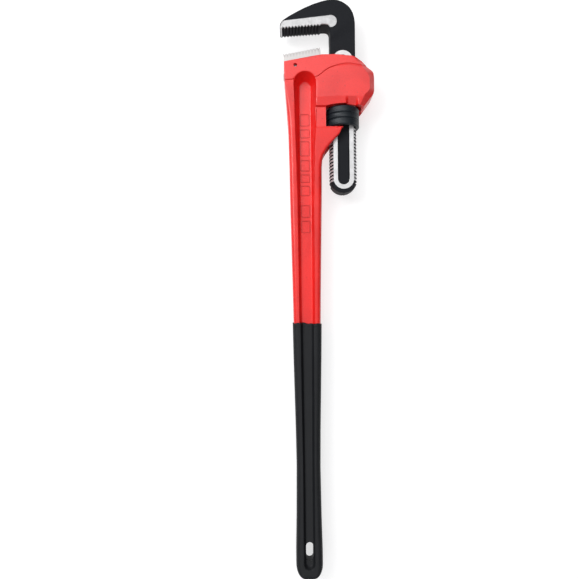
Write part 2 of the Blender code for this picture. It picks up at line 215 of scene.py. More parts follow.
# ---- meshes -------------------------------------------------------------------------------
class Skin:
    """Points and faces gathered from numpy grids, in design millimetres."""

    def __init__(self) -> None:
        """Start with nothing."""
        self.points: list[Floats] = []
        self.faces: list[list[int]] = []
        self.count = 0

    def add(self, points: Floats) -> Ints:
        """Add a grid of points.

        Args:
            points: Array of any shape whose last axis is X, Y, Z.

        Returns:
            The points' numbers in the same arrangement.
        """
        numbers = np.arange(self.count, self.count + points[..., 0].size)
        self.points.append(points.reshape(-1, 3))
        self.count += numbers.size
        return numbers.reshape(points.shape[:-1])

    def cover(self, numbers: Ints) -> None:
        """Span a grid of point numbers with quads."""
        corners = (numbers[:-1, :-1], numbers[1:, :-1], numbers[1:, 1:], numbers[:-1, 1:])
        self.faces += np.stack(corners, -1).reshape(-1, 4).tolist()

    def slab(self, x: Floats, y: Floats, height: Floats) -> None:
        """Closed piece, mirrored about the mid-plane, from one grid of heights.

        Args:
            x: Grid of X.
            y: Grid of Y.
            height: Half thickness at each point of the grid.
        """
        front = self.add(np.stack((x, y, height), -1))
        back = self.add(np.stack((x, y, -height), -1))
        self.cover(front)
        self.cover(back)
        rims = [np.concatenate((g[0, :-1], g[:-1, -1], g[-1, :0:-1], g[:0:-1, 0]))
                for g in (front, back)]
        self.cover(closed(np.stack(rims, -1)))

    def torus(self, rings: Floats) -> None:
        """Surface that joins up with itself both ways.

        Args:
            rings: Grid of points, with a line for each ring.
        """
        numbers = closed(self.add(rings))
        self.cover(np.concatenate((numbers, numbers[:, :1]), 1))

    def tube(self, rings: Floats) -> None:
        """Closed tube through rings, with flat ends.

        Args:
            rings: Grid of points, with a line for each ring.
        """
        numbers = self.add(rings)
        self.cover(np.concatenate((numbers, numbers[:, :1]), 1))
        self.faces += [numbers[0].tolist(), numbers[-1].tolist()]

    def prism(self, outline: Floats, low: float, high: float, axis: int = 2) -> None:
        """Straight closed bar with flat ends.

        Args:
            outline: Points across the bar, as an N by 2 array.
            low: Where it starts along the axis.
            high: Where it ends.
            axis: 2 for a bar along Z, 0 for a bar along X.
        """
        ends = []
        for level in (low, high):
            flat = np.full((len(outline), 1), level)
            parts = (outline, flat) if axis == 2 else (flat, outline)
            ends.append(self.add(np.concatenate(parts, 1)))
        self.cover(closed(np.stack(ends, -1)))
        self.faces += [ends[0].tolist(), ends[1].tolist()]

    def place(self, name: str) -> bpy.types.Object:
        """Make the object, in the row frame.

        Args:
            name: Name of the object and its mesh.

        Returns:
            The object, at the origin, with its faces outward and smooth between sharp edges.
        """
        mesh = bpy.data.meshes.new(name)
        points = (np.concatenate(self.points) + ROW_SHIFT) * MM
        mesh.from_pydata(points.tolist(), [], self.faces)
        work = bmesh.new()
        work.from_mesh(mesh)
        bmesh.ops.recalc_face_normals(work, faces=work.faces)
        work.to_mesh(mesh)
        work.free()
        obj = bpy.data.objects.new(name, mesh)
        bpy.context.scene.collection.objects.link(obj)
        return soften(obj)


def soften(obj: bpy.types.Object) -> bpy.types.Object:
    """Shade an object smooth, with its corners kept sharp.

    Args:
        obj: The object.

    Returns:
        The same object.
    """
    obj.data.shade_smooth()
    obj.data.set_sharp_from_angle(angle=SHARP_ANGLE)
    return obj


def weld(obj: bpy.types.Object) -> bpy.types.Object:
    """Merge points that fall together, so that no face is without area.

    Args:
        obj: The object.

    Returns:
        The same object, with its faces outward and its corners kept sharp.
    """
    work = bmesh.new()
    work.from_mesh(obj.data)
    bmesh.ops.remove_doubles(work, verts=work.verts, dist=WELD)
    bmesh.ops.recalc_face_normals(work, faces=work.faces)
    work.to_mesh(obj.data)
    work.free()
    return soften(obj)


def store(obj: bpy.types.Object, name: str, values: Floats) -> None:
    """Keep one number for each point of an object's mesh.

    Args:
        obj: The object.
        name: Name of the attribute that a finish reads.
        values: One number for each point.
    """
    layer = obj.data.attributes.new(name, "FLOAT", "POINT")
    layer.data.foreach_set("value", values.astype(np.float32))


def subtract(target: bpy.types.Object, cutter: bpy.types.Object) -> bpy.types.Object:
    """Take one closed object out of another with an exact Boolean.

    Args:
        target: The object to cut.
        cutter: The object that is taken out of it, and removed.

    Returns:
        The target with its new mesh.
    """
    modifier = target.modifiers.new("cut", "BOOLEAN")
    modifier.operation = "DIFFERENCE"
    modifier.solver = "EXACT"
    modifier.object = cutter
    graph = bpy.context.evaluated_depsgraph_get()
    mesh = bpy.data.meshes.new_from_object(target.evaluated_get(graph))
    target.modifiers.clear()
    target.data = mesh
    bpy.data.objects.remove(cutter)
    return soften(target)


def cut(target: bpy.types.Object, *tools: Skin) -> bpy.types.Object:
    """Take tools out of a closed object.

    Args:
        target: The object to cut.
        *tools: Closed skins.

    Returns:
        The same object with its new mesh.
    """
    for tool in tools:
        subtract(target, tool.place("cutter"))
    return target


def box_tool(box: Box) -> Skin:
    """Cutter in the shape of a box.

    Args:
        box: Its two ends along X, its two ends along Y and half of its thickness.

    Returns:
        The cutter.
    """
    (left, right), (low, high), half_z = box
    tool = Skin()
    tool.prism(np.array([(left, low), (right, low), (right, high), (left, high)]),
               -half_z, half_z)
    return tool


def slot_tool(centre_x: float, ends: Point, radius: float, half_z: float) -> Skin:
    """Cutter in the shape of a slot along Y.

    Args:
        centre_x: Its centre line.
        ends: Y of the centres of its round ends.
        radius: Radius of the ends.
        half_z: Half of its thickness.

    Returns:
        The cutter.
    """
    turn = np.linspace(0.0, math.pi, 21)
    turns = np.concatenate((turn, turn + math.pi))
    middles = np.repeat((ends[1], ends[0]), turn.size)
    tool = Skin()
    outline = np.stack((centre_x + radius * np.cos(turns), middles + radius * np.sin(turns)), -1)
    tool.prism(outline, -half_z, half_z)
    return tool


def drill(centre: Point, radius: float, half_z: float) -> Skin:
    """Round cutter along Z.

    Args:
        centre: X and Y of its axis.
        radius: Its radius.
        half_z: Half of its length.

    Returns:
        The cutter.
    """
    tool = Skin()
    tool.prism(np.array(centre) + radius * circle(36, 0.05), -half_z, half_z)
    return tool


# ---- shader nodes -------------------------------------------------------------------------
class Shader:
    """One material's node tree, built through a single node-making method."""

    def __init__(self, name: str) -> None:
        """Open a new material.

        Args:
            name: Its name.
        """
        self.material = bpy.data.materials.new(name)
        self.material.use_nodes = True
        self.tree = self.material.node_tree
        self.surface = self.tree.nodes["Principled BSDF"]

    def node(self, kind: str, inputs: dict[Union[str, int], Feed], output: Union[str, int] = 0,
             **settings: Union[str, float, bool]) -> Signal:
        """Make any node.

        Args:
            kind: The node's type.
            inputs: What to link or set on its sockets.
            output: The socket to read.
            **settings: The node's own options.

        Returns:
            The signal of the output.
        """
        made = self.tree.nodes.new(kind)
        for key, value in settings.items():
            setattr(made, key, value)
        for key, value in inputs.items():
            self.feed(made.inputs[key], value)
        return Signal(self, made.outputs[output])

    def feed(self, socket: bpy.types.NodeSocket, value: Feed) -> None:
        """Link a signal to a socket, or set a constant on it.

        Args:
            socket: The input.
            value: What it gets.
        """
        if isinstance(value, Signal):
            self.tree.links.new(value.socket, socket)
        elif isinstance(value, tuple) and len(value) == 3 and socket.type == "RGBA":
            socket.default_value = (*value, 1.0)
        else:
            socket.default_value = value

    def drive(self, **values: Feed) -> None:
        """Set or link inputs of the surface, named with _ for each space."""
        for key, value in values.items():
            self.feed(self.surface.inputs[key.replace("_", " ")], value)

    def place(self) -> Signal:
        """Position on the object, in metres."""
        return self.node("ShaderNodeTexCoord", {}, "Object")

    def stretched(self, scale: Rgb) -> Signal:
        """Position on the object, scaled by a different factor on each axis."""
        return self.node("ShaderNodeVectorMath", {0: self.place(), 1: scale},
                         operation="MULTIPLY")

    def noise(self, scale: float, detail: float = 3.0, roughness: float = 0.5,
              at: Union[Signal, None] = None) -> Signal:
        """Fractal noise between 0 and 1.

        Args:
            scale: Cells per metre.
            detail: Octaves.
            roughness: Weight of the fine octaves.
            at: Where to read it; the object's own position if nothing is given.

        Returns:
            The noise's value.
        """
        inputs = {"Vector": at or self.place(), "Scale": scale, "Detail": detail,
                  "Roughness": roughness}
        return self.node("ShaderNodeTexNoise", inputs)

    def attribute(self, name: str) -> Signal:
        """A number stored on the mesh's points."""
        return self.node("ShaderNodeAttribute", {}, "Fac", attribute_name=name)

    def mix(self, factor: Signal, a: Feed, b: Feed) -> Signal:
        """Colour between a and b."""
        return self.node("ShaderNodeMix", {0: factor, 6: a, 7: b}, 2, data_type="RGBA")

    def bump(self, height: Signal, distance: float, strength: float = 1.0) -> Signal:
        """Normal that follows a height of 0 to 1 times a distance in metres."""
        inputs = {"Height": height, "Distance": distance, "Strength": strength}
        return self.node("ShaderNodeBump", inputs)


class Signal:
    """A value inside a node tree that arithmetic works on."""

    def __init__(self, shader: Shader, socket: bpy.types.NodeSocket) -> None:
        """Wrap an output socket."""
        self.shader = shader
        self.socket = socket

    def _math(self, operation: str, first: Feed, second: Feed) -> Signal:
        """Join two values with a Math node."""
        return self.shader.node("ShaderNodeMath", {0: first, 1: second}, operation=operation)

    def __add__(self, other: Feed) -> Signal:
        """Sum."""
        return self._math("ADD", self, other)

    def __radd__(self, other: Feed) -> Signal:
        """Sum, with the constant first."""
        return self._math("ADD", other, self)

    def __sub__(self, other: Feed) -> Signal:
        """Difference."""
        return self._math("SUBTRACT", self, other)

    def __rsub__(self, other: Feed) -> Signal:
        """Difference from a constant."""
        return self._math("SUBTRACT", other, self)

    def __mul__(self, other: Feed) -> Signal:
        """Product."""
        return self._math("MULTIPLY", self, other)

    def __rmul__(self, other: Feed) -> Signal:
        """Product, with the constant first."""
        return self._math("MULTIPLY", other, self)

    def ramp(self, low: float, high: float) -> Signal:
        """Smooth ramp from 0 at low to 1 at high."""
        inputs = {"Value": self, "From Min": low, "From Max": high}
        return self.shader.node("ShaderNodeMapRange", inputs, interpolation_type="SMOOTHSTEP")


Feed = Union[Signal, float, Rgb]


# ---- finishes -----------------------------------------------------------------------------
class Finish(ABC):
    """A surface finish that fills one material slot of the record."""

    slot: str

    @abstractmethod
    def paint(self, shader: Shader) -> None:
        """Fill in the material's nodes."""

    def material(self) -> bpy.types.Material:
        """Make the material.

        Returns:
            The material, named after its slot.
        """
        shader = Shader(self.slot)
        self.paint(shader)
        log.info("finish %s", self.slot)
        return shader.material


@dataclass(frozen=True)
class RedEnamel(Finish):
    """Glossy enamel over sand-cast iron."""

    slot: str = "red_casting"
    colour: Rgb = (0.80, 0.011, 0.008)
    deep: Rgb = (0.64, 0.006, 0.005)
    # painted shade for the flanks of the raised cast marks
    crease_shade: Rgb = (0.30, 0.001, 0.001)
    speck: Rgb = (0.22, 0.0, 0.0)
    roughness: float = 0.40
    sand_depth: float = 0.000384

    def paint(self, shader: Shader) -> None:
        """Enamel that follows the sand grain under it, with painted shade on the raised marks'
        flanks.

        Args:
            shader: The material's nodes.
        """
        blotch = shader.noise(16.0, 4.0).ramp(0.35, 0.7)
        grain = shader.noise(420.0, 4.0, 0.6)
        sag = shader.noise(60.0, 2.0)
        specks = shader.noise(230.0, 1.0).ramp(0.73, 0.79)
        mottle = shader.noise(340.0, 3.0, 0.7).ramp(0.35, 0.75)
        red = shader.mix(blotch * 0.6 + mottle * 0.4, self.colour, self.deep)
        # painted shade: darker where the mesh stores it, on the raised marks' flanks and tops
        red = shader.mix(shader.attribute("painted_crease_shade"), red, self.crease_shade)
        shader.drive(Base_Color=shader.mix(specks * 0.6, red, self.speck),
                     Roughness=self.roughness + 0.10 * grain + 0.05 * blotch,
                     Normal=shader.bump(grain * 0.8 + sag, self.sand_depth),
                     IOR=1.45, Coat_Weight=0.45, Coat_Roughness=0.25)


@dataclass(frozen=True)
class DippedVinyl(Finish):
    """Soft matt vinyl coat."""

    slot: str = "grip_vinyl"
    colour: Rgb = (0.009, 0.0098, 0.0115)
    pale: Rgb = (0.014, 0.0152, 0.0175)
    roughness: float = 0.46
    grain_depth: float = 0.00020

    def paint(self, shader: Shader) -> None:
        """Vinyl with a fine skin and slow thickness waves.

        Args:
            shader: The material's nodes.
        """
        grain = shader.noise(900.0, 3.0, 0.6)
        waves = shader.noise(35.0, 2.0)
        shader.drive(Base_Color=shader.mix(waves, self.colour, self.pale),
                     Roughness=self.roughness + 0.12 * waves, Specular_IOR_Level=0.22,
                     Normal=shader.bump(grain * 0.5 + waves * 1.5, self.grain_depth))


@dataclass(frozen=True)
class GroundAndForged(Finish):
    """Black forged steel with faces ground bright where the mesh says so."""

    slot: str = "forged_black"
    black: Rgb = (0.009, 0.010, 0.013)
    grey_scale: Rgb = (0.016, 0.017, 0.020)
    steel: Rgb = (0.74, 0.74, 0.75)
    dull_steel: Rgb = (0.30, 0.30, 0.305)
    scale_depth: float = 0.00022

    def paint(self, shader: Shader) -> None:
        """Scale on the forging, grinding lines on the bright faces.

        Args:
            shader: The material's nodes.
        """
        scale = shader.noise(260.0, 4.0, 0.65)
        bright = (shader.attribute("ground_mm") + (scale - 0.5) * 0.5).ramp(-0.12, 0.12)
        lines = shader.noise(1.0, 3.0, 0.7, shader.stretched((90.0, 1500.0, 1500.0)))
        stain = shader.noise(70.0, 4.0, 0.6)
        coarse = shader.attribute("coarse")
        dull = stain.ramp(0.35, 0.75) * 0.25 + lines * 0.25 + coarse * (0.12 + 0.45 * scale)
        steel = shader.mix(dull, self.steel, self.dull_steel)
        black = shader.mix(scale, self.black, self.grey_scale)
        height = (1.0 - bright) * scale + bright * lines * 0.15
        shader.drive(Base_Color=shader.mix(bright, black, steel),
                     Metallic=0.5 * bright, Specular_IOR_Level=0.08,
                     Roughness=0.42 + 0.12 * scale - 0.06 * bright + 0.10 * lines,
                     Normal=shader.bump(height, self.scale_depth))


@dataclass(frozen=True)
class GroundSteel(Finish):
    """Bright hardened steel with grinding lines."""

    slot: str = "jaw_steel"
    colour: Rgb = (0.50, 0.49, 0.485)
    stained: Rgb = (0.38, 0.37, 0.365)
    # painted shade for the tooth valleys
    valley_shade: Rgb = (0.20, 0.17, 0.17)
    roughness: float = 0.38
    line_depth: float = 0.00003

    def paint(self, shader: Shader) -> None:
        """Fine lines along the jaw, a faint stain and painted shade in the tooth valleys.

        Args:
            shader: The material's nodes.
        """
        lines = shader.noise(1.0, 3.0, 0.7, shader.stretched((80.0, 1400.0, 1400.0)))
        stain = shader.noise(60.0, 4.0, 0.6)
        steel = shader.mix(stain * 0.5, self.colour, self.stained)
        # painted shade: the tooth valleys are darkened by their cut depth
        grooved = shader.attribute("groove").ramp(0.15, 0.95)
        shader.drive(Base_Color=shader.mix(grooved * 0.6, steel, self.valley_shade),
                     Metallic=0.7, Roughness=self.roughness + 0.15 * lines,
                     Normal=shader.bump(lines, self.line_depth))


@dataclass(frozen=True)
class BlackOxide(Finish):
    """Oiled black oxide on the turned nut."""

    slot: str = "nut_black"
    colour: Rgb = (0.012, 0.016, 0.021)
    worn: Rgb = (0.06, 0.065, 0.07)
    line_depth: float = 0.00005

    def paint(self, shader: Shader) -> None:
        """Smooth black with turning marks round the axis and some wear.

        Args:
            shader: The material's nodes.
        """
        turned = shader.noise(1.0, 2.0, 0.6, shader.stretched((40.0, 2200.0, 40.0)))
        wear = shader.noise(130.0, 4.0, 0.65).ramp(0.55, 0.8)
        shader.drive(Base_Color=shader.mix(wear * 0.5, self.colour, self.worn),
                     Metallic=0.15, Roughness=0.34 + 0.15 * wear + 0.08 * turned,
                     Specular_IOR_Level=0.30, Normal=shader.bump(turned, self.line_depth))


@dataclass(frozen=True)
class SpringSteel(Finish):
    """Oil-tempered steel of the springs, the rivet and the pin."""

    slot: str = "spring_steel"
    colour: Rgb = (0.30, 0.29, 0.29)
    temper: Rgb = (0.20, 0.19, 0.21)
    line_depth: float = 0.00002

    def paint(self, shader: Shader) -> None:
        """Straw and blue temper stains on drawn steel.

        Args:
            shader: The material's nodes.
        """
        stain = shader.noise(90.0, 3.0).ramp(0.4, 0.7)
        fine = shader.noise(1200.0, 2.0)
        shader.drive(Base_Color=shader.mix(stain, self.colour, self.temper),
                     Metallic=0.95, Roughness=0.30 + 0.14 * fine,
                     Normal=shader.bump(fine, self.line_depth))


# ---- pieces -------------------------------------------------------------------------------
class Body(Enum):
    """Moving bodies of the frame."""

    HANDLE = "handle"
    ROCKER = "jaw_rocker"
    NUT = "nut"
    HOOK = "hook"


class Piece(ABC):
    """One visible piece, which stands for one node of the frame."""

    node: str
    body: Body
    finish: type[Finish]

    @abstractmethod
    def shape(self) -> bpy.types.Object:
        """Make the piece's object in the row frame."""

    def dress(self, material: bpy.types.Material) -> bpy.types.Object:
        """Build the piece and hang it on the frame.

        Args:
            material: Its finish.

        Returns:
            The finished object.
        """
        obj = weld(self.shape())
        obj.name = f"{self.node}_look"
        obj.data.materials.clear()
        obj.data.materials.append(material)
        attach(obj, self.body.value)
        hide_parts(self.node)
        log.info("%s: %d faces", obj.name, len(obj.data.polygons))
        return obj


@dataclass(frozen=True)
class BarSize:
    """The handle's I-shaped bar, along the handle."""

    stations: tuple[float, ...] = (2, 6, 17, 34, 60, 136, 237, 314, 466, 593, 796, 872, 945,
                                   1012, 1054)
    lefts: tuple[float, ...] = (-89, -94.5, -102, -105.9, -105.8, -104.1, -102.9, -103.9,
                                -107.1, -109, -112.8, -113.7, -115.2, -119.4, -122.6)
    rights: tuple[float, ...] = (-70.4, -64.9, -57.4, -53.5, -53.6, -55.3, -56.5, -55.5,
                                 -52.3, -50.4, -46.4, -46.0, -45.6, -45.2, -45.0)
    halves: tuple[float, ...] = (12, 14, 15.5, 16, 16, 16, 16.2, 16.5, 17.4, 18, 19.5, 24,
                                 29.4, 29.6, 29.6)
    edge: float = 9.0
    centre: float = -79.7
    web: float = 8.0
    draft: float = 0.36
    channel_ends: Point = (36.0, 1035.0)
    floor_stations: tuple[float, ...] = (36, 237, 568, 1035)
    floor_halves: tuple[float, ...] = (10.6, 10.6, 12.6, 13.2)
    floor_fillet: float = 6.0
    lip_fillet: float = 2.6
    hang_x: float = -79.2
    hang_ends: Point = (46.6, 71.0)
    hang_radius: float = 9.7
    spare: float = 0.4
    least_wall: float = 0.6

    def left(self, y: Floats) -> Floats:
        """Left edge at a height."""
        return np.interp(y, self.stations, self.lefts)

    def right(self, y: Floats) -> Floats:
        """Right edge at a height."""
        return np.interp(y, self.stations, self.rights)

    def half(self, y: Floats) -> Floats:
        """Half thickness of the flanges at a height."""
        return np.interp(y, self.stations, self.halves)

    def floor(self, y: Floats) -> Floats:
        """Half width of the channel's floor at a height."""
        return np.interp(y, self.floor_stations, self.floor_halves)

    def mouth(self, y: Floats) -> Floats:
        """Half width of the channel at the flanges' faces."""
        return self.floor(y) + (self.half(y) - self.web) * self.draft

    def carve(self, x: Floats, y: Floats, face: Floats, grow: float = 0.0) -> Floats:
        """Sink the channel into a face.

        Args:
            x: Grid of X.
            y: Grid of Y.
            face: Height of the uncut face.
            grow: Thickness of a coat on it.

        Returns:
            The face, with drafted walls, a filleted floor and rounded lips.
        """
        outside = slot_distance(x, y, self.centre, self.channel_ends) - self.floor(y) + grow
        wall = self.web + grow + outside / self.draft
        sunk = soft_max(np.full_like(wall, self.web + grow), wall, self.floor_fillet)
        return soft_min(face, sunk, self.lip_fillet)


@dataclass(frozen=True)
class HeadSize:
    """Net, levels and chambers of the casting's head; rows are named by nominal height."""

    sill: float = 0.6
    sill_rows: Point = (987.0, 990.0)
    facet_drop: float = 10.0
    facet_rows: Point = (989.0, 1006.0)
    facet_left: Point = (3.6, 8.0)
    facet_right: Point = (25.0, 30.0)
    arch: float = 5.0
    arch_base: float = 989.0
    window_rows: Point = (947.6, 985.6)
    window_left: float = -37.2
    window_right: float = 36.8
    window_end: float = 90.0
    pocket_rows: Point = (945.0, 947.0)
    pocket_depth: float = 1.3
    top_rows: Point = (1088.9, 1090.7)
    top_drop: float = 1.2
    jaw_level: float = 36.5
    boss_level: float = 34.8
    boss_row: Point = (990.0, 1006.0)
    climb_rows: Point = (900.0, 1040.0)
    plain_rows: Point = (945.0, 990.0)
    jaw_edge: float = 1.6
    edge_rows: Point = (960.0, 1048.0)
    line_rows: tuple[float, ...] = (985.0, 1006.0, 1046.9, 1090.7)
    shank_room: Box = ((-29.6, 35.5), (985.0, 1110.0), 19.9)
    coil_pocket: Box = ((32.0, 57.5), (1023.0, 1057.0), 13.5)
    leaf_pocket: Box = ((30.0, 40.5), (985.0, 1071.0), 14.0)
    nut_room: Box = ((-40.0, 90.0), (840.0, 991.8), 19.9)
    jaw_seat: Box = ((-135.0, -46.1), (1060.7, 1110.0), 17.9)
    step_rows: Point = (1046.3, 1047.5)
    rows_left: tuple[tuple[float, ...], tuple[float, ...]] = (
        (5, 1006, 1022, 1046.9, 1090.7), (5, 1005, 1019, 1041.3, 1079.5))
    rim_rows: tuple[float, ...] = (866.5, 882.2, 894, 907.3, 918.5, 927.7, 935.9, 945.1,
                                   985.6, 990, 1010, 1016, 1022, 1034.5, 1040.7, 1043.2,
                                   1046.9, 1068.8, 1090.7)
    inner: tuple[Point, ...] = (
        (-55.4, 866.5), (-52.4, 882.2), (-48.3, 894), (-39.9, 907.3), (-29.5, 918.5),
        (-19.1, 927.7), (-10.7, 935.9), (-5.5, 945.1), (31.5, 985.6), (33.0, 990.0),
        (42.7, 1010.3), (48.6, 1016), (53.1, 1022), (52.5, 1045), (48.8, 1054),
        (44.0, 1060), (36.5, 1070.3), (27.0, 1079.8), (16.9, 1089.3))
    outer: tuple[Point, ...] = (
        (-46.0, 866.5), (-45.0, 880.5), (-42.6, 889.8), (-35.8, 903), (-25.9, 915.6),
        (-16.6, 925.6), (-8.8, 934.0), (-4.2, 944.6), (39.8, 985.6), (43.3, 990.2),
        (58.4, 1010.4), (62.6, 1016), (64.0, 1022), (64.0, 1050), (62.6, 1059),
        (60.0, 1062.8), (47.6, 1072.4), (38.0, 1079.5), (22.0, 1088.2))
    bevel_rows: tuple[float, ...] = (866, 907, 945, 985, 992, 1006, 1046, 1060, 1089)
    bevels: tuple[float, ...] = (9, 5, 1.6, 7, 9, 12, 11, 8, 1.2)
    step_line: tuple[Point, ...] = (
        (-58.4, 1046.9), (-51.2, 1050.1), (-45.2, 1054.9), (-38.8, 1060.2), (-30.8, 1065.2),
        (-22.3, 1068.6), (-14.0, 1071.2), (-5.8, 1073.2), (3.4, 1074.2), (12.6, 1074.4),
        (20.0, 1073.4), (26.9, 1071.8), (36.5, 1070.3))
    seat_line: tuple[Point, ...] = ((-58.4, 1090.7), (-44.9, 1093.0), (-17.9, 1093.2),
                                    (16.9, 1089.3))
    boss_line: tuple[Point, ...] = ((-58.4, 1006.0), (-8.6, 1010.3), (42.7, 1010.3))


class HandleCasting(Piece):
    """Red casting: the I-shaped handle, the horn and the housing."""

    node = "handle_casting"
    body = Body.HANDLE
    finish = RedEnamel
    column_counts = (8, 6, 9, 22, 9, 62, 9)
    right_from = 4.5
    pocket_from = 5.02
    row_stops = (5, 6, 17, 34, 60, 136, 237, 314, 466, 530, 560, 796, 866, 945, 947, 987, 990,
                 1005.4, 1006.6, 1022, 1046.3, 1047.5, 1089.4, 1090.7)
    row_counts = (1, 3, 3, 5, 6, 6, 5, 8, 4, 4, 50, 20, 54, 1, 24, 3, 11, 2, 12, 22, 2, 35, 2)

    def __init__(self, bar: BarSize, head: HeadSize) -> None:
        """Keep the sizes."""
        self.bar = bar
        self.head = head

    def net(self) -> tuple[Floats, Floats, Floats, Floats]:
        """Lay the net over the face.

        Returns:
            Grids of X, Y, nominal row height and column parameter.  Each column follows an
            edge of the channel or of the outline, and rows from 990 up follow the head's
            curved lines.
        """
        bar, head = self.bar, self.head
        u = bar_columns(self.column_counts)
        v = spaced(self.row_stops, self.row_counts)
        left_y = np.interp(v, *head.rows_left)
        left, right, edge = bar.left(left_y), bar.right(v), self.left_round(v)
        mouth = np.minimum(bar.mouth(v), (right - left) / 2 - edge - bar.spare)
        floor = np.minimum(bar.floor(v), mouth - bar.least_wall)
        inner_x, inner_y = self.rim(head.inner, v, right - edge)
        outer_x, outer_y = self.rim(head.outer, v, right)
        knots = np.stack((left, left + edge, bar.centre - mouth, bar.centre - floor,
                          bar.centre + floor, bar.centre + mouth, inner_x, outer_x))
        x = between(knots, u)
        middle_x = knots[5][:, None]
        slope = np.clip((x - knots[0][:, None]) / (middle_x - knots[0][:, None]), 0, 1)
        y = left_y[:, None] * (1 - slope) + v[:, None] * slope
        run = np.clip((x - middle_x) / (inner_x[:, None] - middle_x), 0, 1)
        y += (inner_y - v)[:, None] * run + self.lift(x, v, run)
        end = np.where(u > 6, u - 6, 0.0)[None, :]
        y += (outer_y - inner_y)[:, None] * end
        return x, y, np.broadcast_to(v[:, None], x.shape), np.broadcast_to(u, x.shape)

    def left_round(self, v: Floats) -> Floats:
        """Radius of the flanges' outer edges, which sharpens towards the jaw."""
        least = self.head.jaw_edge
        return least + (self.bar.edge - least) * (1 - ease(v, *self.head.edge_rows))

    def rim(self, line: tuple[Point, ...], v: Floats, below: Floats) -> tuple[Floats, Floats]:
        """Follow one of the two lines along the right side.

        Args:
            line: The line's points at the rim rows.
            v: Nominal heights of all rows.
            below: X of the line on the plain handle.

        Returns:
            X and Y of the line at each row.
        """
        points = np.array(line)
        rows = self.head.rim_rows
        x = np.where(v < rows[0], below, np.interp(v, rows, points[:, 0]))
        y = np.where(v < rows[0], v, np.interp(v, rows, points[:, 1]))
        return x, y

    def lift(self, x: Floats, v: Floats, run: Floats) -> Floats:
        """How far the rows bow up from straight lines between channel and rim.

        Args:
            x: Grid of X.
            v: Nominal heights of the rows.
            run: Share of the way from the channel to the rim's inner line.

        Returns:
            The bow, fading between the rows that carry the head's lines.
        """
        head = self.head
        bows = [np.zeros_like(x)]
        for line in (head.boss_line, head.step_line, head.seat_line):
            xs, ys = np.array(line).T
            share = (x - xs[0]) / (xs[-1] - xs[0])
            straight = ys[0] + (ys[-1] - ys[0]) * share
            bows.append(np.where((run > 0) & (run < 1), np.interp(x, xs, ys) - straight, 0.0))
        weights = [np.interp(v, head.line_rows, weight)[:, None] for weight in np.eye(4)]
        return sum(w * bow for w, bow in zip(weights, bows))

    def height(self, x: Floats, y: Floats, v: Floats, u: Floats) -> Floats:
        """Height of the face above the mid-plane.

        Args:
            x: Grid of X.
            y: Grid of Y.
            v: Nominal row height.
            u: Column parameter.

        Returns:
            Flange level, plus boss and jaw block, less pocket, rim and channel.
        """
        bar, head = self.bar, self.head
        face = bar.half(v)
        right_side = u > self.right_from
        sill = ease(v, *head.sill_rows)
        climb = head.sill * sill + (1 - head.sill) * np.interp(v, head.boss_row, (0, 1))
        ramp = ease(v, *head.climb_rows)
        face = face + np.where(right_side, climb, ramp) * (head.boss_level - bar.halves[-1])
        facet = ease(x, *head.facet_left) * (1 - ease(x, *head.facet_right)) * right_side
        low = np.interp(v, head.facet_rows, (1, 0))
        face -= facet * low * (v > head.window_rows[1]) * head.facet_drop
        face += ease(v, *head.step_rows) * (head.jaw_level - head.boss_level)
        pocket = ease(v, *head.pocket_rows) * (1 - sill)
        face -= pocket * (u > self.pocket_from) * head.pocket_depth
        face -= ease(v, *head.top_rows) ** 2 * head.top_drop
        share = np.clip(u - 6, 0, 1)
        plain = ease(v, *head.plain_rows)
        rim = (1 - plain) * quarter_round(share) + plain * share
        face -= np.interp(v, head.bevel_rows, head.bevels) * rim
        face -= self.left_round(v) * quarter_round(1 - np.clip(u, 0, 1))
        return bar.carve(x, y, face)

    def window(self) -> Skin:
        """Cutter of the nut's window, whose upper edge is an arch: base + arch * (1 - t^2).

        Returns:
            The cutter.
        """
        head = self.head
        low, high = head.window_rows
        left, right, end = head.window_left, head.window_right, head.window_end
        across = np.linspace(right, left, 17)
        arch = np.stack((across, head.arch_base + head.arch * (1 - (across / left) ** 2)), -1)
        corners = np.array([(left, low), (end, low), (end, high), (right, high)])
        tool = Skin()
        tool.prism(np.concatenate((corners, arch)), -THROUGH, THROUGH)
        return tool

    def shape(self) -> bpy.types.Object:
        """Net the face, close it into a solid and machine it.

        Returns:
            The casting.
        """
        bar, head = self.bar, self.head
        x, y, v, u = self.net()
        skin = Skin()
        skin.slab(x, y, self.height(x, y, v, u))
        boxes = (head.shank_room, head.coil_pocket, head.leaf_pocket, head.nut_room,
                 head.jaw_seat)
        return cut(skin.place(self.node), self.window(), *(box_tool(box) for box in boxes),
                   drill(PIN_CENTRE, PIN_BORE, THROUGH),
                   slot_tool(bar.hang_x, bar.hang_ends, bar.hang_radius, THROUGH))


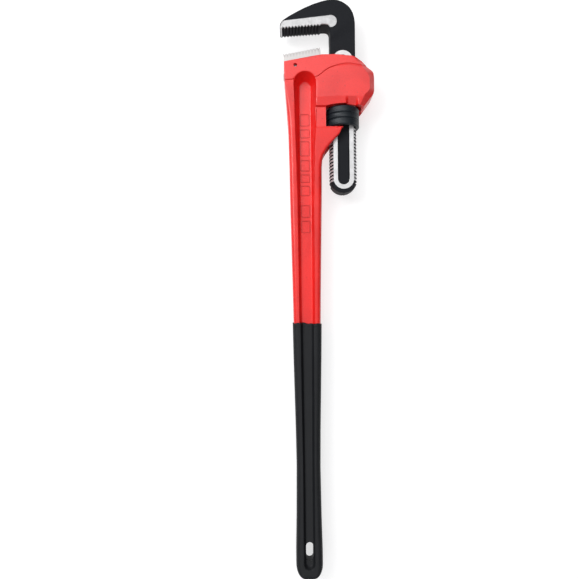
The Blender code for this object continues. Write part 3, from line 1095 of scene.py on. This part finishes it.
class GripSleeve(Piece):
    """Dipped coat on the handle, with a rolled edge and a lined hang slot."""

    node = "grip_sleeve"
    body = Body.HANDLE
    finish = DippedVinyl
    coat = 2.0
    gap = 0.3
    top = 540.0
    end_length = 34.0
    end_power = 2.3
    end_thin = 0.35
    thin_length = 13.0
    bead = 0.8
    bead_half = 2.4
    lip = 1.6
    wave_from = 40.0
    row_stops = (35.5, 90, 500, 534, 540)
    row_counts = (22, 70, 10, 8)
    inner_stops = (4.7, 6, 17, 34, 60, 560)
    inner_counts = (1, 3, 4, 8, 60)
    column_counts = (8, 4, 9, 14, 9, 4, 8)

    def __init__(self, bar: BarSize) -> None:
        """Keep the bar's sizes."""
        self.bar = bar

    def solid(self, grow: float, rows: Floats, round_end: bool) -> Skin:
        """The handle's bar, made larger on every side.

        Args:
            grow: By how much.
            rows: Heights of the rows.
            round_end: Whether the low end is drawn in to a superellipse.

        Returns:
            A closed skin.
        """
        bar = self.bar
        u = bar_columns(self.column_counts)
        source = np.maximum(rows, self.end_length) if round_end else rows
        left, right = bar.left(source) - grow, bar.right(source) + grow
        half = bar.half(source) + grow
        edge = np.full_like(rows, bar.edge + grow)
        if round_end:
            width = self.end_share(rows, self.end_length)
            middle = (left + right) / 2
            left, right = middle + (left - middle) * width, middle + (right - middle) * width
            thin = self.end_share(rows, self.thin_length)
            half *= self.end_thin + (1 - self.end_thin) * thin
            edge *= np.clip(width, 0.2, 1.0)
        mouth = np.minimum(bar.mouth(source) - grow, (right - left) / 2 - edge - bar.spare)
        floor = np.minimum(bar.floor(source) - grow, mouth - bar.least_wall)
        middle = (left + right) / 2 if round_end else np.full_like(rows, bar.centre)
        knots = np.stack((left, left + edge, middle - mouth, middle - floor, middle + floor,
                          middle + mouth, right - edge, right))
        x = between(knots, u)
        y = np.broadcast_to(rows[:, None], x.shape).copy()
        rounding = quarter_round(1 - np.clip(u, 0, 1)) + quarter_round(np.clip(u - 6, 0, 1))
        face = half[:, None] - np.minimum(edge, half - 1.0)[:, None] * rounding[None, :]
        face = bar.carve(x, y, face, grow)
        if round_end:
            face += self.roll(y)
            y += self.wave(x) * ease(y, self.top - self.wave_from, self.top)
        skin = Skin()
        skin.slab(x, y, face)
        return skin

    def end_share(self, rows: Floats, length: float) -> Floats:
        """Superellipse from 0 at the low end to 1 at a length above it."""
        share = np.clip(1 - rows / length, 0, 1)
        return (1 - share ** self.end_power) ** (1 / self.end_power)

    def roll(self, y: Floats) -> Floats:
        """Bead of the dipped edge, and its rounded end."""
        bead = self.bead * np.exp(-((y - self.top + 3.0) / self.bead_half) ** 2)
        return bead - self.lip * quarter_round((y - self.top + 2.0) / 2.0)

    def wave(self, x: Floats) -> Floats:
        """How far the dipped edge runs up or down across the handle."""
        return 0.9 * np.sin(x * 0.19) + 0.5 * np.sin(x * 0.43 + 1.0) - 0.05 * (x + 80.0)

    def shape(self) -> bpy.types.Object:
        """Outer skin, less the bar it coats, less the slot.

        Returns:
            The hollow sleeve.
        """
        ends = (1 - np.cos(np.linspace(0.053, 1, 26) * QUARTER)) * self.end_length
        rows = np.concatenate((ends, spaced(self.row_stops, self.row_counts)))
        outer = self.solid(self.coat, rows, True)
        inner_rows = spaced(self.inner_stops, self.inner_counts)
        inner = self.solid(self.gap, inner_rows, False).place("inner")
        bar = self.bar
        cut(inner, slot_tool(bar.hang_x, bar.hang_ends, bar.hang_radius - self.gap, THROUGH))
        sleeve = cut(outer.place(self.node),
                     slot_tool(bar.hang_x, bar.hang_ends, bar.hang_radius - self.coat, THROUGH))
        return subtract(sleeve, inner)


@dataclass(frozen=True)
class TeethSize:
    """A straight row of cut teeth."""

    start: Point
    end: Point
    count: int = 12
    depth: float = 3.2
    valley: float = 0.42
    marks: tuple[float, ...] = (0.0, 0.14, 0.28, 0.42, 0.56, 0.70, 0.85)

    @property
    def length(self) -> float:
        """Length of the row."""
        return math.dist(self.start, self.end)

    def cut_depth(self, along: Floats) -> Floats:
        """Depth of the cut at a distance along the row.

        Args:
            along: Distances from the row's start.

        Returns:
            The depths, which are 0 past either end.
        """
        turn = along / self.length * self.count
        share = turn - np.floor(turn)
        depth = np.minimum(share / self.valley, (1 - share) / (1 - self.valley)) * self.depth
        return np.where((turn > 0) & (turn < self.count), depth, 0.0)

    def stations(self) -> Floats:
        """Distances along the row that hit each crest and each valley."""
        turns = (np.arange(self.count)[:, None] + np.array(self.marks)[None, :]).ravel()
        return np.append(turns, self.count) * self.length / self.count


class HeelJaw(Piece):
    """Ground insert with its own teeth, let into the casting."""

    node = "heel_jaw"
    body = Body.HANDLE
    finish = GroundSteel
    teeth = TeethSize((-124.2, 1103.6), (-47.4, 1116.9))
    half = 17.6
    bottom = 1061.0
    last_crest = 1104.0
    levels = (0, 0.012, 0.1, 0.3, 0.5, 0.6, 0.7, 0.78, 0.86, 0.93, 0.985, 1.0)
    chamfer = 0.5
    chamfer_run = 0.6

    def shape(self) -> bpy.types.Object:
        """One grid under the row of teeth, closed and bored for its pin.

        Returns:
            The insert.
        """
        teeth = self.teeth
        along = np.concatenate(([-0.1, 0.0], teeth.stations()[1:], [teeth.length + 0.9]))
        x = teeth.start[0] + (teeth.end[0] - teeth.start[0]) * along / teeth.length
        crest = teeth.start[1] + (teeth.end[1] - teeth.start[1]) * along / teeth.length
        crest[-1] = self.last_crest
        top = crest - teeth.cut_depth(along)
        v = np.array(self.levels)
        y = self.bottom + (top - self.bottom)[None, :] * v[:, None]
        side = np.minimum(along + 0.1, along[-1] - along)
        bevel = self.chamfer * (1 - np.minimum(side / self.chamfer_run, 1))
        height = self.half - np.broadcast_to(bevel[None, :], y.shape).copy()
        height[0] -= self.chamfer
        height[-1] -= 0.35
        skin = Skin()
        skin.slab(np.broadcast_to(x[None, :], y.shape), y, height)
        obj = skin.place(self.node)
        # tooth-valley depth, which the steel finish turns into painted shade
        groove = (teeth.cut_depth(along) / teeth.depth)[None, :] * ease(v, 0.72, 1.0)[:, None]
        store(obj, "groove", np.tile(groove.ravel(), 2))
        return cut(obj, drill(PIN_CENTRE, PIN_BORE, THROUGH))


@dataclass(frozen=True)
class ThreadSize:
    """Right-hand thread shared by the shank and the nut."""

    pitch: float = 7.0
    root: float = 26.4
    crest: float = 28.8
    mean: float = 27.5
    half_crest: float = 1.0
    slope: float = 0.35
    phase: float = 969.0
    play: float = 0.55

    def radius(self, y: Floats, turn: Floats, grow: float = 0.0) -> Floats:
        """Radius of the thread's surface.

        Args:
            y: Heights.
            turn: Angles about the axis, from the front towards the right, in radians.
            grow: Play added to the radius and to the ridge's width.

        Returns:
            Root radius, with one flat-topped ridge for each pitch.
        """
        lead = (y - self.phase) / self.pitch - turn / (2 * math.pi)
        off = np.abs(lead - np.round(lead)) * self.pitch
        flank = (self.crest - self.root) * self.slope
        ridge = np.clip((self.half_crest + grow + flank - off) / flank, 0, 1)
        return self.root + grow + (self.crest - self.root) * ridge


@dataclass(frozen=True)
class HookSize:
    """Hook and shank: lines of the inner and the outer side over the row parameter."""

    inner_rows: tuple[tuple[float, float, float], ...] = (
        (0.0, -126.5, 1156.2), (79.15, -47.5, 1161.1), (83.0, -44.2, 1164.2),
        (90.0, -36.5, 1164.4), (96.0, -30.5, 1163.4), (100.0, -27.5, 1160.6),
        (104.0, -26.0, 1156.5), (110.0, -26.0, 1150.0), (116.0, -26.0, 1143.5),
        (123.0, -26.0, 1137.0), (134.0, -26.0, 1130.0), (142.0, -26.0, 1122.0))
    outer_rows: tuple[tuple[float, float, float], ...] = (
        (0.0, -130.9, 1158.0), (2.5, -131.0, 1162.2), (5.5, -130.4, 1167.0),
        (8.5, -128.2, 1171.8), (12.5, -124.0, 1176.3), (20.5, -112.1, 1184.0),
        (32.5, -97.0, 1192.2), (46.5, -80.5, 1200.4), (62.5, -61.2, 1208.6),
        (72.0, -48.5, 1212.6), (79.15, -39.0, 1215.2), (85.0, -29.5, 1217.2),
        (90.0, -19.8, 1218.0), (95.0, -9.5, 1216.8), (100.0, 0.5, 1212.9),
        (104.0, 8.2, 1208.0), (108.0, 14.2, 1203.0), (112.0, 19.3, 1196.0),
        (116.0, 22.9, 1188.2), (120.0, 25.2, 1179.0), (125.0, 26.5, 1168.0),
        (130.0, 26.6, 1155.0), (136.0, 26.5, 1138.0), (142.0, 26.5, 1122.0))
    teeth_row: float = 79.15
    neck_row: float = 100.0
    straight_row: float = 142.0
    straight_y: float = 1122.0
    half: float = 19.0
    shank_half: float = 16.5
    thread_top: float = 1046.0
    end_y: float = 812.7
    end_radius: float = 29.8
    slot_half: float = 12.2
    slot_ends: Point = (842.2, 1089.4)
    slot_depth: float = 5.0
    slot_rows: Point = (1104.0, 1084.0)
    slot_wall: float = 1.5
    slot_lip: float = 0.2
    slot_share: float = 0.3
    face_edge: float = 1.2
    edge_share: float = 0.1
    band: float = 9.1
    round_rows: Point = (104.0, 140.0)
    thin_rows: Point = (118.0, 138.0)
    outer_round: float = 5.5
    inner_round: float = 0.7
    shank_round: float = 1.6
    end_round: float = 3.2
    end_least: float = 2.0
    rounds_from: float = 830.0
    pad_row: float = 125.0
    pad_rise: float = 0.5
    hook_from: float = 1135.0
    pad_line: tuple[Point, Point] = ((-121.8, 1172.3), (-23.7, 1182.8))
    pad_ends: Point = (-130.0, -29.0)
    bulb: tuple[float, float, float] = (-24.4, 1170.3, 12.5)


class HookJaw(Piece):
    """Forged hook with its threaded shank, as one tube of cross-sections from tip to end."""

    node = "hook_jaw"
    body = Body.HOOK
    finish = GroundAndForged
    teeth = TeethSize((-126.5, 1156.2), (-47.5, 1161.1))
    face_counts = (3, 12, 3, 16, 3, 12, 3)
    side_steps = 14

    def __init__(self, size: HookSize, thread: ThreadSize) -> None:
        """Keep the sizes."""
        self.size = size
        self.thread = thread

    def rows(self) -> Floats:
        """Row parameters: millimetres along the teeth, then down the shank.

        Returns:
            The parameters, in order.
        """
        size = self.size
        shank = size.straight_row + size.straight_y
        pitch_rows = int((size.thread_top - size.rounds_from) / self.thread.pitch * 12)
        low = spaced((size.straight_y, *size.slot_rows, size.thread_top, size.rounds_from),
                     (12, 20, 24, pitch_rows))
        run = size.rounds_from - size.end_y
        end = size.end_y + run * (1 - np.sin(np.linspace(0, 1, 24) * QUARTER)) + 0.05
        bow = spaced((size.teeth_row, size.neck_row, size.straight_row), (20, 32))
        return np.concatenate((self.teeth.stations(), bow[1:], shank - low[1:],
                               shank - end[1:]))

    def sides(self, s: Floats) -> tuple[Floats, Floats]:
        """Inner and outer point of each row.

        Args:
            s: Row parameters.

        Returns:
            Two N by 2 arrays.
        """
        size = self.size
        down = size.straight_y + size.straight_row - s
        lines = []
        for table in (size.inner_rows, size.outer_rows):
            row, x, y = np.array(table).T
            y_here = np.where(s > size.straight_row, down, np.interp(s, row, y))
            lines.append(np.stack((np.interp(s, row, x), y_here), -1))
        return lines[0], lines[1]

    def shape(self) -> bpy.types.Object:
        """Loft the rings and close both ends.

        Returns:
            The hook with its marks.
        """
        size = self.size
        s = self.rows()
        inner, outer = self.sides(s)
        tooth = np.array(self.teeth.end) - np.array(self.teeth.start)
        normal = np.array((-tooth[1], tooth[0])) / math.hypot(*tooth)
        inner = inner + normal * self.teeth.cut_depth(s)[:, None]
        half = size.half + (size.shank_half - size.half) * ease(s, *size.thin_rows)
        face = self.face(s, inner, outer, half, 1)
        right = self.side(s, inner, outer, half, 1)
        left = self.side(s, inner, outer, half, -1)
        back = self.face(s, inner, outer, half, -1)[:, ::-1]
        rings = np.concatenate((face, right[:, 1:-1], back, left[:, 1:-1]), 1)
        skin = Skin()
        skin.tube(rings)
        obj = skin.place(self.node)
        self.mark_ground(obj, rings.reshape(-1, 3), float(inner[:, 1].min()))
        return obj

    def reach(self, s: Floats, inner: Floats, outer: Floats, half: Floats, z: Floats,
              way: int) -> Floats:
        """How far a side lies from its own line at heights z.

        Args:
            s: Row parameters.
            inner: Inner points.
            outer: Outer points.
            half: Half thickness of each row.
            z: N by M heights above the mid-plane.
            way: 1 for the outer side, -1 for the inner one.

        Returns:
            N by M distances outwards from the line: corner rounding on the hook, the
            thread's cylinder on the shank, and the round end.
        """
        size = self.size
        y = outer[:, 1:2] if way == 1 else inner[:, 1:2]
        width = np.hypot(*(outer - inner).T)[:, None]
        forged = size.outer_round if way == 1 else size.inner_round
        radius = forged + (size.shank_round - forged) * ease(s, *size.round_rows)[:, None]
        radius = np.minimum(radius, width * 0.45)
        over = np.clip((np.abs(z) - (half[:, None] - radius)) / radius, 0, 1)
        plain = -radius * quarter_round(over)
        on_shank = (s > size.straight_row)[:, None]
        line = np.where(way == 1, outer[:, 0:1], -inner[:, 0:1])
        turn = np.arctan2(way * np.sqrt(np.maximum(self.thread.mean ** 2 - z * z, 1.0)), z)
        rod = np.sqrt(self.thread.radius(y, turn) ** 2 - z * z) - line
        threaded = np.where(on_shank, 1 - ease(y, size.thread_top, size.thread_top + 5), 0.0)
        offset = plain * (1 - threaded) + rod * threaded
        centre = size.end_y + size.end_radius
        below = np.clip((centre - y) / size.end_radius, 0, 1)
        corner = size.end_round
        rim = corner * quarter_round((np.abs(z) - (half[:, None] - corner)) / corner)
        end = size.end_radius * np.sqrt(np.maximum(1 - below * below, 0.0)) - line - rim
        end = np.where(on_shank & (below > 0), np.maximum(end, size.end_least - line), np.inf)
        return np.minimum(offset, end)

    def side(self, s: Floats, inner: Floats, outer: Floats, half: Floats, way: int) -> Floats:
        """Lay the points of one side.

        Args:
            s: Row parameters.
            inner: Inner points.
            outer: Outer points.
            half: Half thickness of each row.
            way: 1 for the outer side, from front to back; -1 for the inner, from back to front.

        Returns:
            Grid of points, a row for each row parameter.
        """
        turn = np.linspace(0, math.pi, self.side_steps + 1)
        z = half[:, None] * np.cos(turn)[None, :] * way
        distance = self.reach(s, inner, outer, half, z, way)
        across = (outer - inner) / np.hypot(*(outer - inner).T)[:, None]
        base = outer if way == 1 else inner
        points = base[:, None, :] + across[:, None, :] * (distance * way)[:, :, None]
        return np.concatenate((points, z[:, :, None]), 2)

    def face(self, s: Floats, inner: Floats, outer: Floats, half: Floats, way: int) -> Floats:
        """Flat face, from the inner side to the outer one, with the slot sunk into it.

        Args:
            s: Row parameters.
            inner: Inner points.
            outer: Outer points.
            half: Half thickness of each row.
            way: 1 for the front, -1 for the back, whose thread stands at another phase.

        Returns:
            Grid of points, a row for each row parameter.
        """
        size = self.size
        left = self.side(s, inner, outer, half, -1)[:, -1 if way == 1 else 0, :2]
        right = self.side(s, inner, outer, half, 1)[:, 0 if way == 1 else -1, :2]
        u = spaced(KNOTS, self.face_counts)
        width = np.hypot(*(right - left).T)
        edge = np.minimum(size.face_edge / width, size.edge_share)
        slot = np.minimum(size.slot_half, width * size.slot_share) / width
        wall = np.minimum(size.slot_wall / width, slot * 0.5)
        lip = size.slot_lip / width
        middle = np.where(s > size.straight_row, -left[:, 0] / width, 0.5)
        ones = np.ones_like(width)
        knots = np.stack((0 * ones, edge, middle - slot - lip, middle - slot + wall,
                          middle + slot - wall, middle + slot + lip, 1 - edge, ones))
        t = between(knots, u)
        flat = left[:, None, :] * (1 - t[..., None]) + right[:, None, :] * t[..., None]
        x, y = flat[..., 0], flat[..., 1]
        depth = slot_distance(x, y, 0.0, size.slot_ends) - size.slot_half
        z = half[:, None] - size.slot_depth * ease(-depth, 0.0, size.slot_wall)
        corner = size.end_round
        z = z - corner * quarter_round((size.end_y + corner - y) / corner)
        raised = ease(self.pad(x, y), -0.4, 0.6) * (s < size.pad_row)[:, None]
        z = z + size.pad_rise * raised
        return np.stack((x, y, z * way), -1)

    def pad(self, x: Floats, y: Floats) -> Floats:
        """How far points lie inside the ground pad's outline.

        Args:
            x: Horizontal positions.
            y: Vertical positions.

        Returns:
            Millimetres, negative outside.
        """
        size = self.size
        (x0, y0), (x1, y1) = size.pad_line
        slope = (y1 - y0) / (x1 - x0)
        below = (y0 + slope * (x - x0) - y) / math.hypot(1.0, slope)
        left, right = size.pad_ends
        strip = np.minimum(np.minimum(below, right - x), x - left)
        bulb_x, bulb_y, radius = size.bulb
        return np.maximum(strip, radius - np.hypot(x - bulb_x, y - bulb_y))

    def mark_ground(self, obj: bpy.types.Object, points: Floats, low: float) -> None:
        """Store on each point how far it lies inside a ground face.

        Args:
            obj: The hook.
            points: Its points in design millimetres.
            low: The lowest Y of the piece.
        """
        size = self.size
        x, y, z = points.T
        around = slot_distance(x, y, 0.0, size.slot_ends) - size.slot_half
        band = np.minimum(size.band - around, around + 0.1)
        band = np.where(np.abs(z) > size.shank_half - 0.4, band, -1.0)
        band = np.where(y > low + 1.0, band, -1.0)
        thread, out = self.thread, np.hypot(x, z)
        depth = thread.root + 0.4 * (thread.crest - thread.root) - out
        grooved = (np.abs(z) < size.shank_half - 0.2) & (out > thread.root - 1.0)
        grooved &= (y > size.slot_ends[0] - 6.0) & (y < size.thread_top)
        band = np.where(grooved, depth, band)
        pad = np.where(np.abs(z) > size.half - 0.6, self.pad(x, y), -1.0)
        on_hook = y > size.hook_from
        store(obj, "ground_mm", np.clip(np.where(on_hook, pad, band), -4, 4))
        store(obj, "coarse", on_hook.astype(float))


class AdjustingNut(Piece):
    """Knurled ring nut with its internal thread."""

    node = "adjusting_nut"
    body = Body.NUT
    finish = BlackOxide
    middle = 969.9
    half = 20.2
    radius = 35.2
    ribs = 90
    rib_depth = 0.22
    band = 5.6
    groove_depth = 1.9
    groove_run = (0.3, 1.9)
    crown = 0.012
    knurl_ends = (4.5, 3.0)
    corner = 4.0
    mouth_radius = 29.6
    mouth_depth = 2.2
    steps = 360

    def __init__(self, thread: ThreadSize) -> None:
        """Keep the thread's sizes."""
        self.thread = thread

    def groove(self, y: Floats) -> Floats:
        """Depth of the two round grooves that part the three bands.

        Args:
            y: Heights above the nut's middle.

        Returns:
            The depths, with the bands slightly crowned.
        """
        away = np.abs(np.abs(y) - self.band)
        crown = self.crown * np.minimum(away, self.band) ** 2
        return self.groove_depth * (1 - ease(away, *self.groove_run)) + crown

    def shape(self) -> bpy.types.Object:
        """Turn a closed outline about the shank's axis: knurled bands outside, thread inside.

        Returns:
            The nut.
        """
        half, curve = self.half, self.corner
        arc = np.linspace(0, QUARTER, 6)
        upper = np.stack((self.radius - curve + curve * np.sin(arc),
                          half - curve + curve * np.cos(arc)), -1)
        wall_y = spaced((half - curve, self.band, -self.band, -half + curve), (12, 16, 12))
        wall = np.stack((self.radius - self.groove(wall_y), wall_y), -1)[1:-1]
        lower = upper[::-1] * np.array((1, -1))
        bore_y = np.linspace(-half, half, 74)
        mouth = np.clip((np.abs(bore_y) - half + self.mouth_depth) / self.mouth_depth, 0, 1)
        turn = np.linspace(0, 2 * math.pi, self.steps, endpoint=False)[:, None]
        outside = np.concatenate((upper, wall, lower))
        out_r = np.broadcast_to(outside[:, 0], (self.steps, len(outside)))
        out_y = np.broadcast_to(outside[:, 1], out_r.shape)
        low, high = self.knurl_ends
        band = 1 - ease(np.abs(out_y), half - low, half - high)
        rib = 0.5 + 0.5 * np.cos(turn * self.ribs)
        out_r = out_r - band * rib * self.rib_depth
        bore_r = self.thread.radius(bore_y[None, :] + self.middle, turn, self.thread.play)
        bore_r = bore_r + mouth[None, :] * (self.mouth_radius - bore_r)
        radius = np.concatenate((out_r, bore_r), 1)
        height = np.concatenate((out_y, np.broadcast_to(bore_y, bore_r.shape)), 1) + self.middle
        rings = np.stack((radius * np.sin(turn), height, radius * np.cos(turn)), -1)
        skin = Skin()
        skin.torus(rings)
        return skin.place(self.node)


@dataclass(frozen=True)
class SpringSize:
    """Leaf, rivet and coil behind the shank."""

    leaf_x: float = 29.7
    leaf_thick: float = 1.6
    leaf_half: float = 12.0
    leaf_ends: Point = (1002.0, 1068.0)
    bend: float = 9.0
    rise: float = 2.2
    axis_y: float = 1040.0
    hole_radius: float = 2.3
    corner: float = 3.0
    head: float = 2.4
    gap: float = 0.3
    pocket_end: float = 57.5
    coil_radius: float = 8.5
    wire: float = 1.3
    turns: int = 5


class SpringPart(Piece):
    """One of the pieces of the spring."""

    finish = SpringSteel

    def __init__(self, size: SpringSize) -> None:
        """Keep the sizes."""
        self.size = size


class FlatSpring(SpringPart):
    """Leaf that bears on the shank's edge."""

    node = "flat_spring"
    body = Body.ROCKER
    section = ((0, 0.25), (0.3, 0), (1.3, 0), (1.6, 0.25))

    def shape(self) -> bpy.types.Object:
        """Slab across the leaf's thickness, curling away from the shank at both ends.

        Returns:
            The leaf, with the rivet's hole.
        """
        size = self.size
        low, high = size.leaf_ends
        y = np.linspace(low, high, 60)[:, None]
        near = np.minimum(y - low, high - y)
        end = np.clip(1 - near / size.bend, 0, 1)
        layers, narrow = np.array(self.section).T
        x = size.leaf_x + size.rise * end ** 2 + layers[None, :]
        corner = size.corner * quarter_round(1 - near / size.corner)
        half = size.leaf_half - corner - narrow[None, :]
        skin = Skin()
        skin.slab(x, np.broadcast_to(y, x.shape), half)
        hole = Skin()
        hole.prism(np.array((size.axis_y, 0.0)) + size.hole_radius * circle(24),
                   size.leaf_x - 5, size.leaf_x + 8, axis=0)
        return cut(skin.place(self.node), hole)


class SpringRivet(SpringPart):
    """Rivet that holds the leaf and guides the coil."""

    node = "spring_rivet"
    body = Body.ROCKER

    def shape(self) -> bpy.types.Object:
        """Turned outline about the rivet's axis: shank, head and rounded end.

        Returns:
            The rivet.
        """
        size = self.size
        start = size.leaf_x + 0.2
        head = size.leaf_x + size.leaf_thick + size.gap
        back = head + size.head
        outline = np.array([(start, 0.4), (start, 1.6), (start + 0.4, 2.0), (head, 2.0),
                            (head, 4.6), (head + 0.4, 5.0), (back - 0.5, 5.0),
                            (back, 4.5), (back, 2.0), (start + 15.0, 2.0),
                            (start + 15.7, 1.5), (start + 16.0, 0.4)])
        way = circle(32)[None, :, :] * outline[:, None, 1:]
        x = np.broadcast_to(outline[:, None, :1], (*way.shape[:2], 1))
        skin = Skin()
        skin.tube(np.concatenate((x, way + np.array((size.axis_y, 0.0))), 2))
        return skin.place(self.node)


class CoilSpring(SpringPart):
    """Compression spring between the leaf's rivet and the housing."""

    node = "coil_spring"
    body = Body.HANDLE
    steps = 260
    around = 14
    flat_turns = 0.6
    keep = 0.84

    def shape(self) -> bpy.types.Object:
        """Tube along a helix whose end turns lie flat.

        Returns:
            The coil.
        """
        size = self.size
        first = size.leaf_x + size.leaf_thick + size.head + 2 * size.gap + size.wire
        last = size.pocket_end - size.gap - size.wire
        t = np.linspace(0, 1, self.steps)[:, None]
        flat = self.flat_turns / size.turns
        share = np.clip((t - flat * 0.5) / (1 - flat), 0, 1)
        turn = 2 * math.pi * size.turns * t
        ring = np.linspace(0, 2 * math.pi, self.around, endpoint=False)[None, :]
        radius = size.coil_radius + size.wire * np.cos(ring)
        x = first + (last - first) * share + size.wire * np.sin(ring)
        points = np.stack((x, size.axis_y + radius * np.cos(turn), radius * np.sin(turn)), -1)
        skin = Skin()
        skin.tube(points)
        return skin.place(self.node)

    def dress(self, material: bpy.types.Material) -> bpy.types.Object:
        """Hang the coil on the frame and give it a mesh of its own.

        Args:
            material: Its finish.

        Returns:
            The finished object.
        """
        obj = super().dress(material)
        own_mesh(obj)
        return obj


class HeelPin(Piece):
    """Slotted spring pin across the heel jaw, sunk below the casting's faces."""

    node = "heel_jaw_pin"
    body = Body.HANDLE
    finish = SpringSteel
    half = 31.0
    end = ((0.3, 0.8), (1.6, 0.8), (2.0, 0.3), (2.4, 0.0), (2.9, 0.0), (3.5, 0.8))

    def shape(self) -> bpy.types.Object:
        """Turned outline about the pin's axis, with rounded ends and a dished middle.

        Returns:
            The pin.
        """
        radius, drop = np.array(self.end).T
        radii = np.concatenate((radius, radius[::-1]))
        z = np.concatenate((self.half - drop, drop[::-1] - self.half))
        way = circle(32)[None, :, :] * radii[:, None, None]
        z = np.broadcast_to(z[:, None, None], (*way.shape[:2], 1))
        skin = Skin()
        skin.tube(np.concatenate((way + np.array(PIN_CENTRE), z), 2))
        return skin.place(self.node)


class CastMarks:
    """Raised outline figures on the web, cast with the handle."""

    rows = ((968.0, 24.0, 19.0), (939.5, 17.0, 19.0), (908.0, 30.0, 19.0), (872.0, 22.0, 19.0),
            (845.0, 16.0, 19.0), (819.0, 20.0, 19.0), (775.5, 25.0, 18.0), (743.0, 24.0, 18.0))
    centre = -80.6
    level = 8.0
    rise = 1.1
    line = 1.95
    corner = 3.0
    # columns: offset across the stroke, rise, painted shade (darkest on the flanks, some on top)
    section = ((-0.9, -0.4, 0.8), (-0.5, 0.1, 1.0), (-0.35, 1.0, 0.3), (0.35, 1.0, 0.3),
               (0.5, 0.1, 1.0), (0.9, -0.4, 0.8))

    def outline(self, middle_y: float, length: float, width: float) -> Floats:
        """Rounded rectangle across the web, with its outward directions.

        Args:
            middle_y: Its centre along the handle.
            length: Its size along the handle.
            width: Its size across the handle.

        Returns:
            N by 4 array of X, Y and the outward direction at each point.
        """
        way = circle(32)
        side = np.sign(np.round(way, 6) + 1e-9)
        core = np.array((width / 2 - self.corner, length / 2 - self.corner))
        middle = np.array((self.centre, middle_y))
        return np.concatenate((middle + side * core + way * self.corner, way), 1)

    def build(self, material: bpy.types.Material) -> bpy.types.Object:
        """Carry one low ridge round each figure, on both faces, with painted shade stored on its
        flanks.

        Args:
            material: The casting's finish.

        Returns:
            The object, riding on the handle.
        """
        skin = Skin()
        across, up, painted_crease_shade = np.array(self.section).T
        for row in self.rows:
            path = self.outline(*row)
            for side in (1, -1):
                offset = path[:, None, 2:] * (across * self.line)[None, :, None]
                plane = path[:, None, :2] + offset
                z = side * (self.level + up * self.rise)
                z = np.broadcast_to(z[None, :, None], (*plane.shape[:2], 1))
                skin.torus(np.concatenate((plane, z), 2))
        obj = skin.place("cast_marks")
        # painted shade, which the enamel reads to darken the strokes
        store(obj, "painted_crease_shade", np.tile(painted_crease_shade, skin.count // len(painted_crease_shade)))
        obj.data.materials.append(material)
        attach(obj, Body.HANDLE.value)
        log.info("%s: %d faces", obj.name, len(obj.data.polygons))
        return obj


# ---- studio -------------------------------------------------------------------------------
@dataclass(frozen=True)
class Lamp:
    """A soft area light."""

    name: str
    place: tuple[float, float, float]
    aim: tuple[float, float, float]
    size: float
    watts: float

    def build(self) -> None:
        """Hang the light and turn it to its aim."""
        data = bpy.data.lights.new(self.name, "AREA")
        data.shape = "DISK"
        data.size = self.size
        data.energy = self.watts
        lamp = bpy.data.objects.new(self.name, data)
        bpy.context.scene.collection.objects.link(lamp)
        lamp.location = self.place
        turn = np.array(self.aim) - np.array(self.place)
        flat = math.hypot(turn[0], turn[1])
        lamp.rotation_euler = (math.atan2(flat, -turn[2]), 0.0,
                               math.atan2(turn[1], turn[0]) - math.pi / 2)


@dataclass(frozen=True)
class Studio:
    """Pale floor, soft light and the camera straight above the wrench."""

    camera: tuple[float, float, float] = (-0.08274, 0.00213, 1.0265)
    roll: float = math.radians(-0.6)
    lens: float = 28.94
    floor_half: float = 12.0
    lamps: tuple[Lamp, ...] = (
        Lamp("key", (-1.5, 0.9, 1.9), (0.0, 0.1, 0.0), 1.3, 34.0),
        Lamp("top_softbox", (-0.3, 2.0, 2.4), (0.0, 0.3, 0.0), 2.4, 30.0),
        Lamp("low_softbox", (-0.3, -1.9, 2.4), (0.0, 0.2, 0.0), 2.4, 15.0),
        Lamp("fill", (-0.5, 0.0, 3.0), (0.0, 0.0, 0.0), 6.0, 66.0),
    )
    ambient: float = 0.06
    floor_colour: Rgb = (0.42, 0.42, 0.425)
    floor_rough: float = 0.9
    floor_glow: float = 0.66

    def build(self) -> None:
        """Set up floor, lights, world and camera."""
        self.sweep()
        for lamp in self.lamps:
            lamp.build()
        world = bpy.data.worlds.new("studio")
        world.use_nodes = True
        background = world.node_tree.nodes["Background"].inputs
        background["Color"].default_value = (*WHITE, 1.0)
        background["Strength"].default_value = self.ambient
        scene = bpy.context.scene
        scene.world = world
        scene.view_settings.view_transform = "Standard"
        data = bpy.data.cameras.new("camera")
        data.lens = self.lens
        data.clip_end = 50.0
        camera = bpy.data.objects.new("camera", data)
        scene.collection.objects.link(camera)
        camera.location = self.camera
        camera.rotation_euler = (0.0, 0.0, self.roll)
        scene.camera = camera

    def sweep(self) -> None:
        """Plain pale floor under the wrench."""
        half = self.floor_half
        mesh = bpy.data.meshes.new("floor")
        corners = [(-half, -half, 0.0), (half, -half, 0.0), (half, half, 0.0), (-half, half, 0.0)]
        mesh.from_pydata(corners, [], [(0, 1, 2, 3)])
        floor = bpy.data.objects.new("floor", mesh)
        bpy.context.scene.collection.objects.link(floor)
        shader = Shader("floor")
        shader.drive(Base_Color=self.floor_colour, Roughness=self.floor_rough,
                     Emission_Color=WHITE, Emission_Strength=self.floor_glow)
        mesh.materials.append(shader.material)


def main() -> None:
    """Dress the frame and light it."""
    logging.basicConfig(level=logging.INFO, format="%(message)s")
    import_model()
    bar, thread, spring = BarSize(), ThreadSize(), SpringSize()
    pieces: tuple[Piece, ...] = (
        HandleCasting(bar, HeadSize()), GripSleeve(bar), HeelJaw(), HeelPin(),
        HookJaw(HookSize(), thread), AdjustingNut(thread), FlatSpring(spring),
        SpringRivet(spring), CoilSpring(spring))
    materials: dict[type[Finish], bpy.types.Material] = {}
    for piece in pieces:
        if piece.finish not in materials:
            materials[piece.finish] = piece.finish().material()
        piece.dress(materials[piece.finish])
    CastMarks().build(materials[RedEnamel])
    Studio().build()


if __name__ == "__main__":
    main()
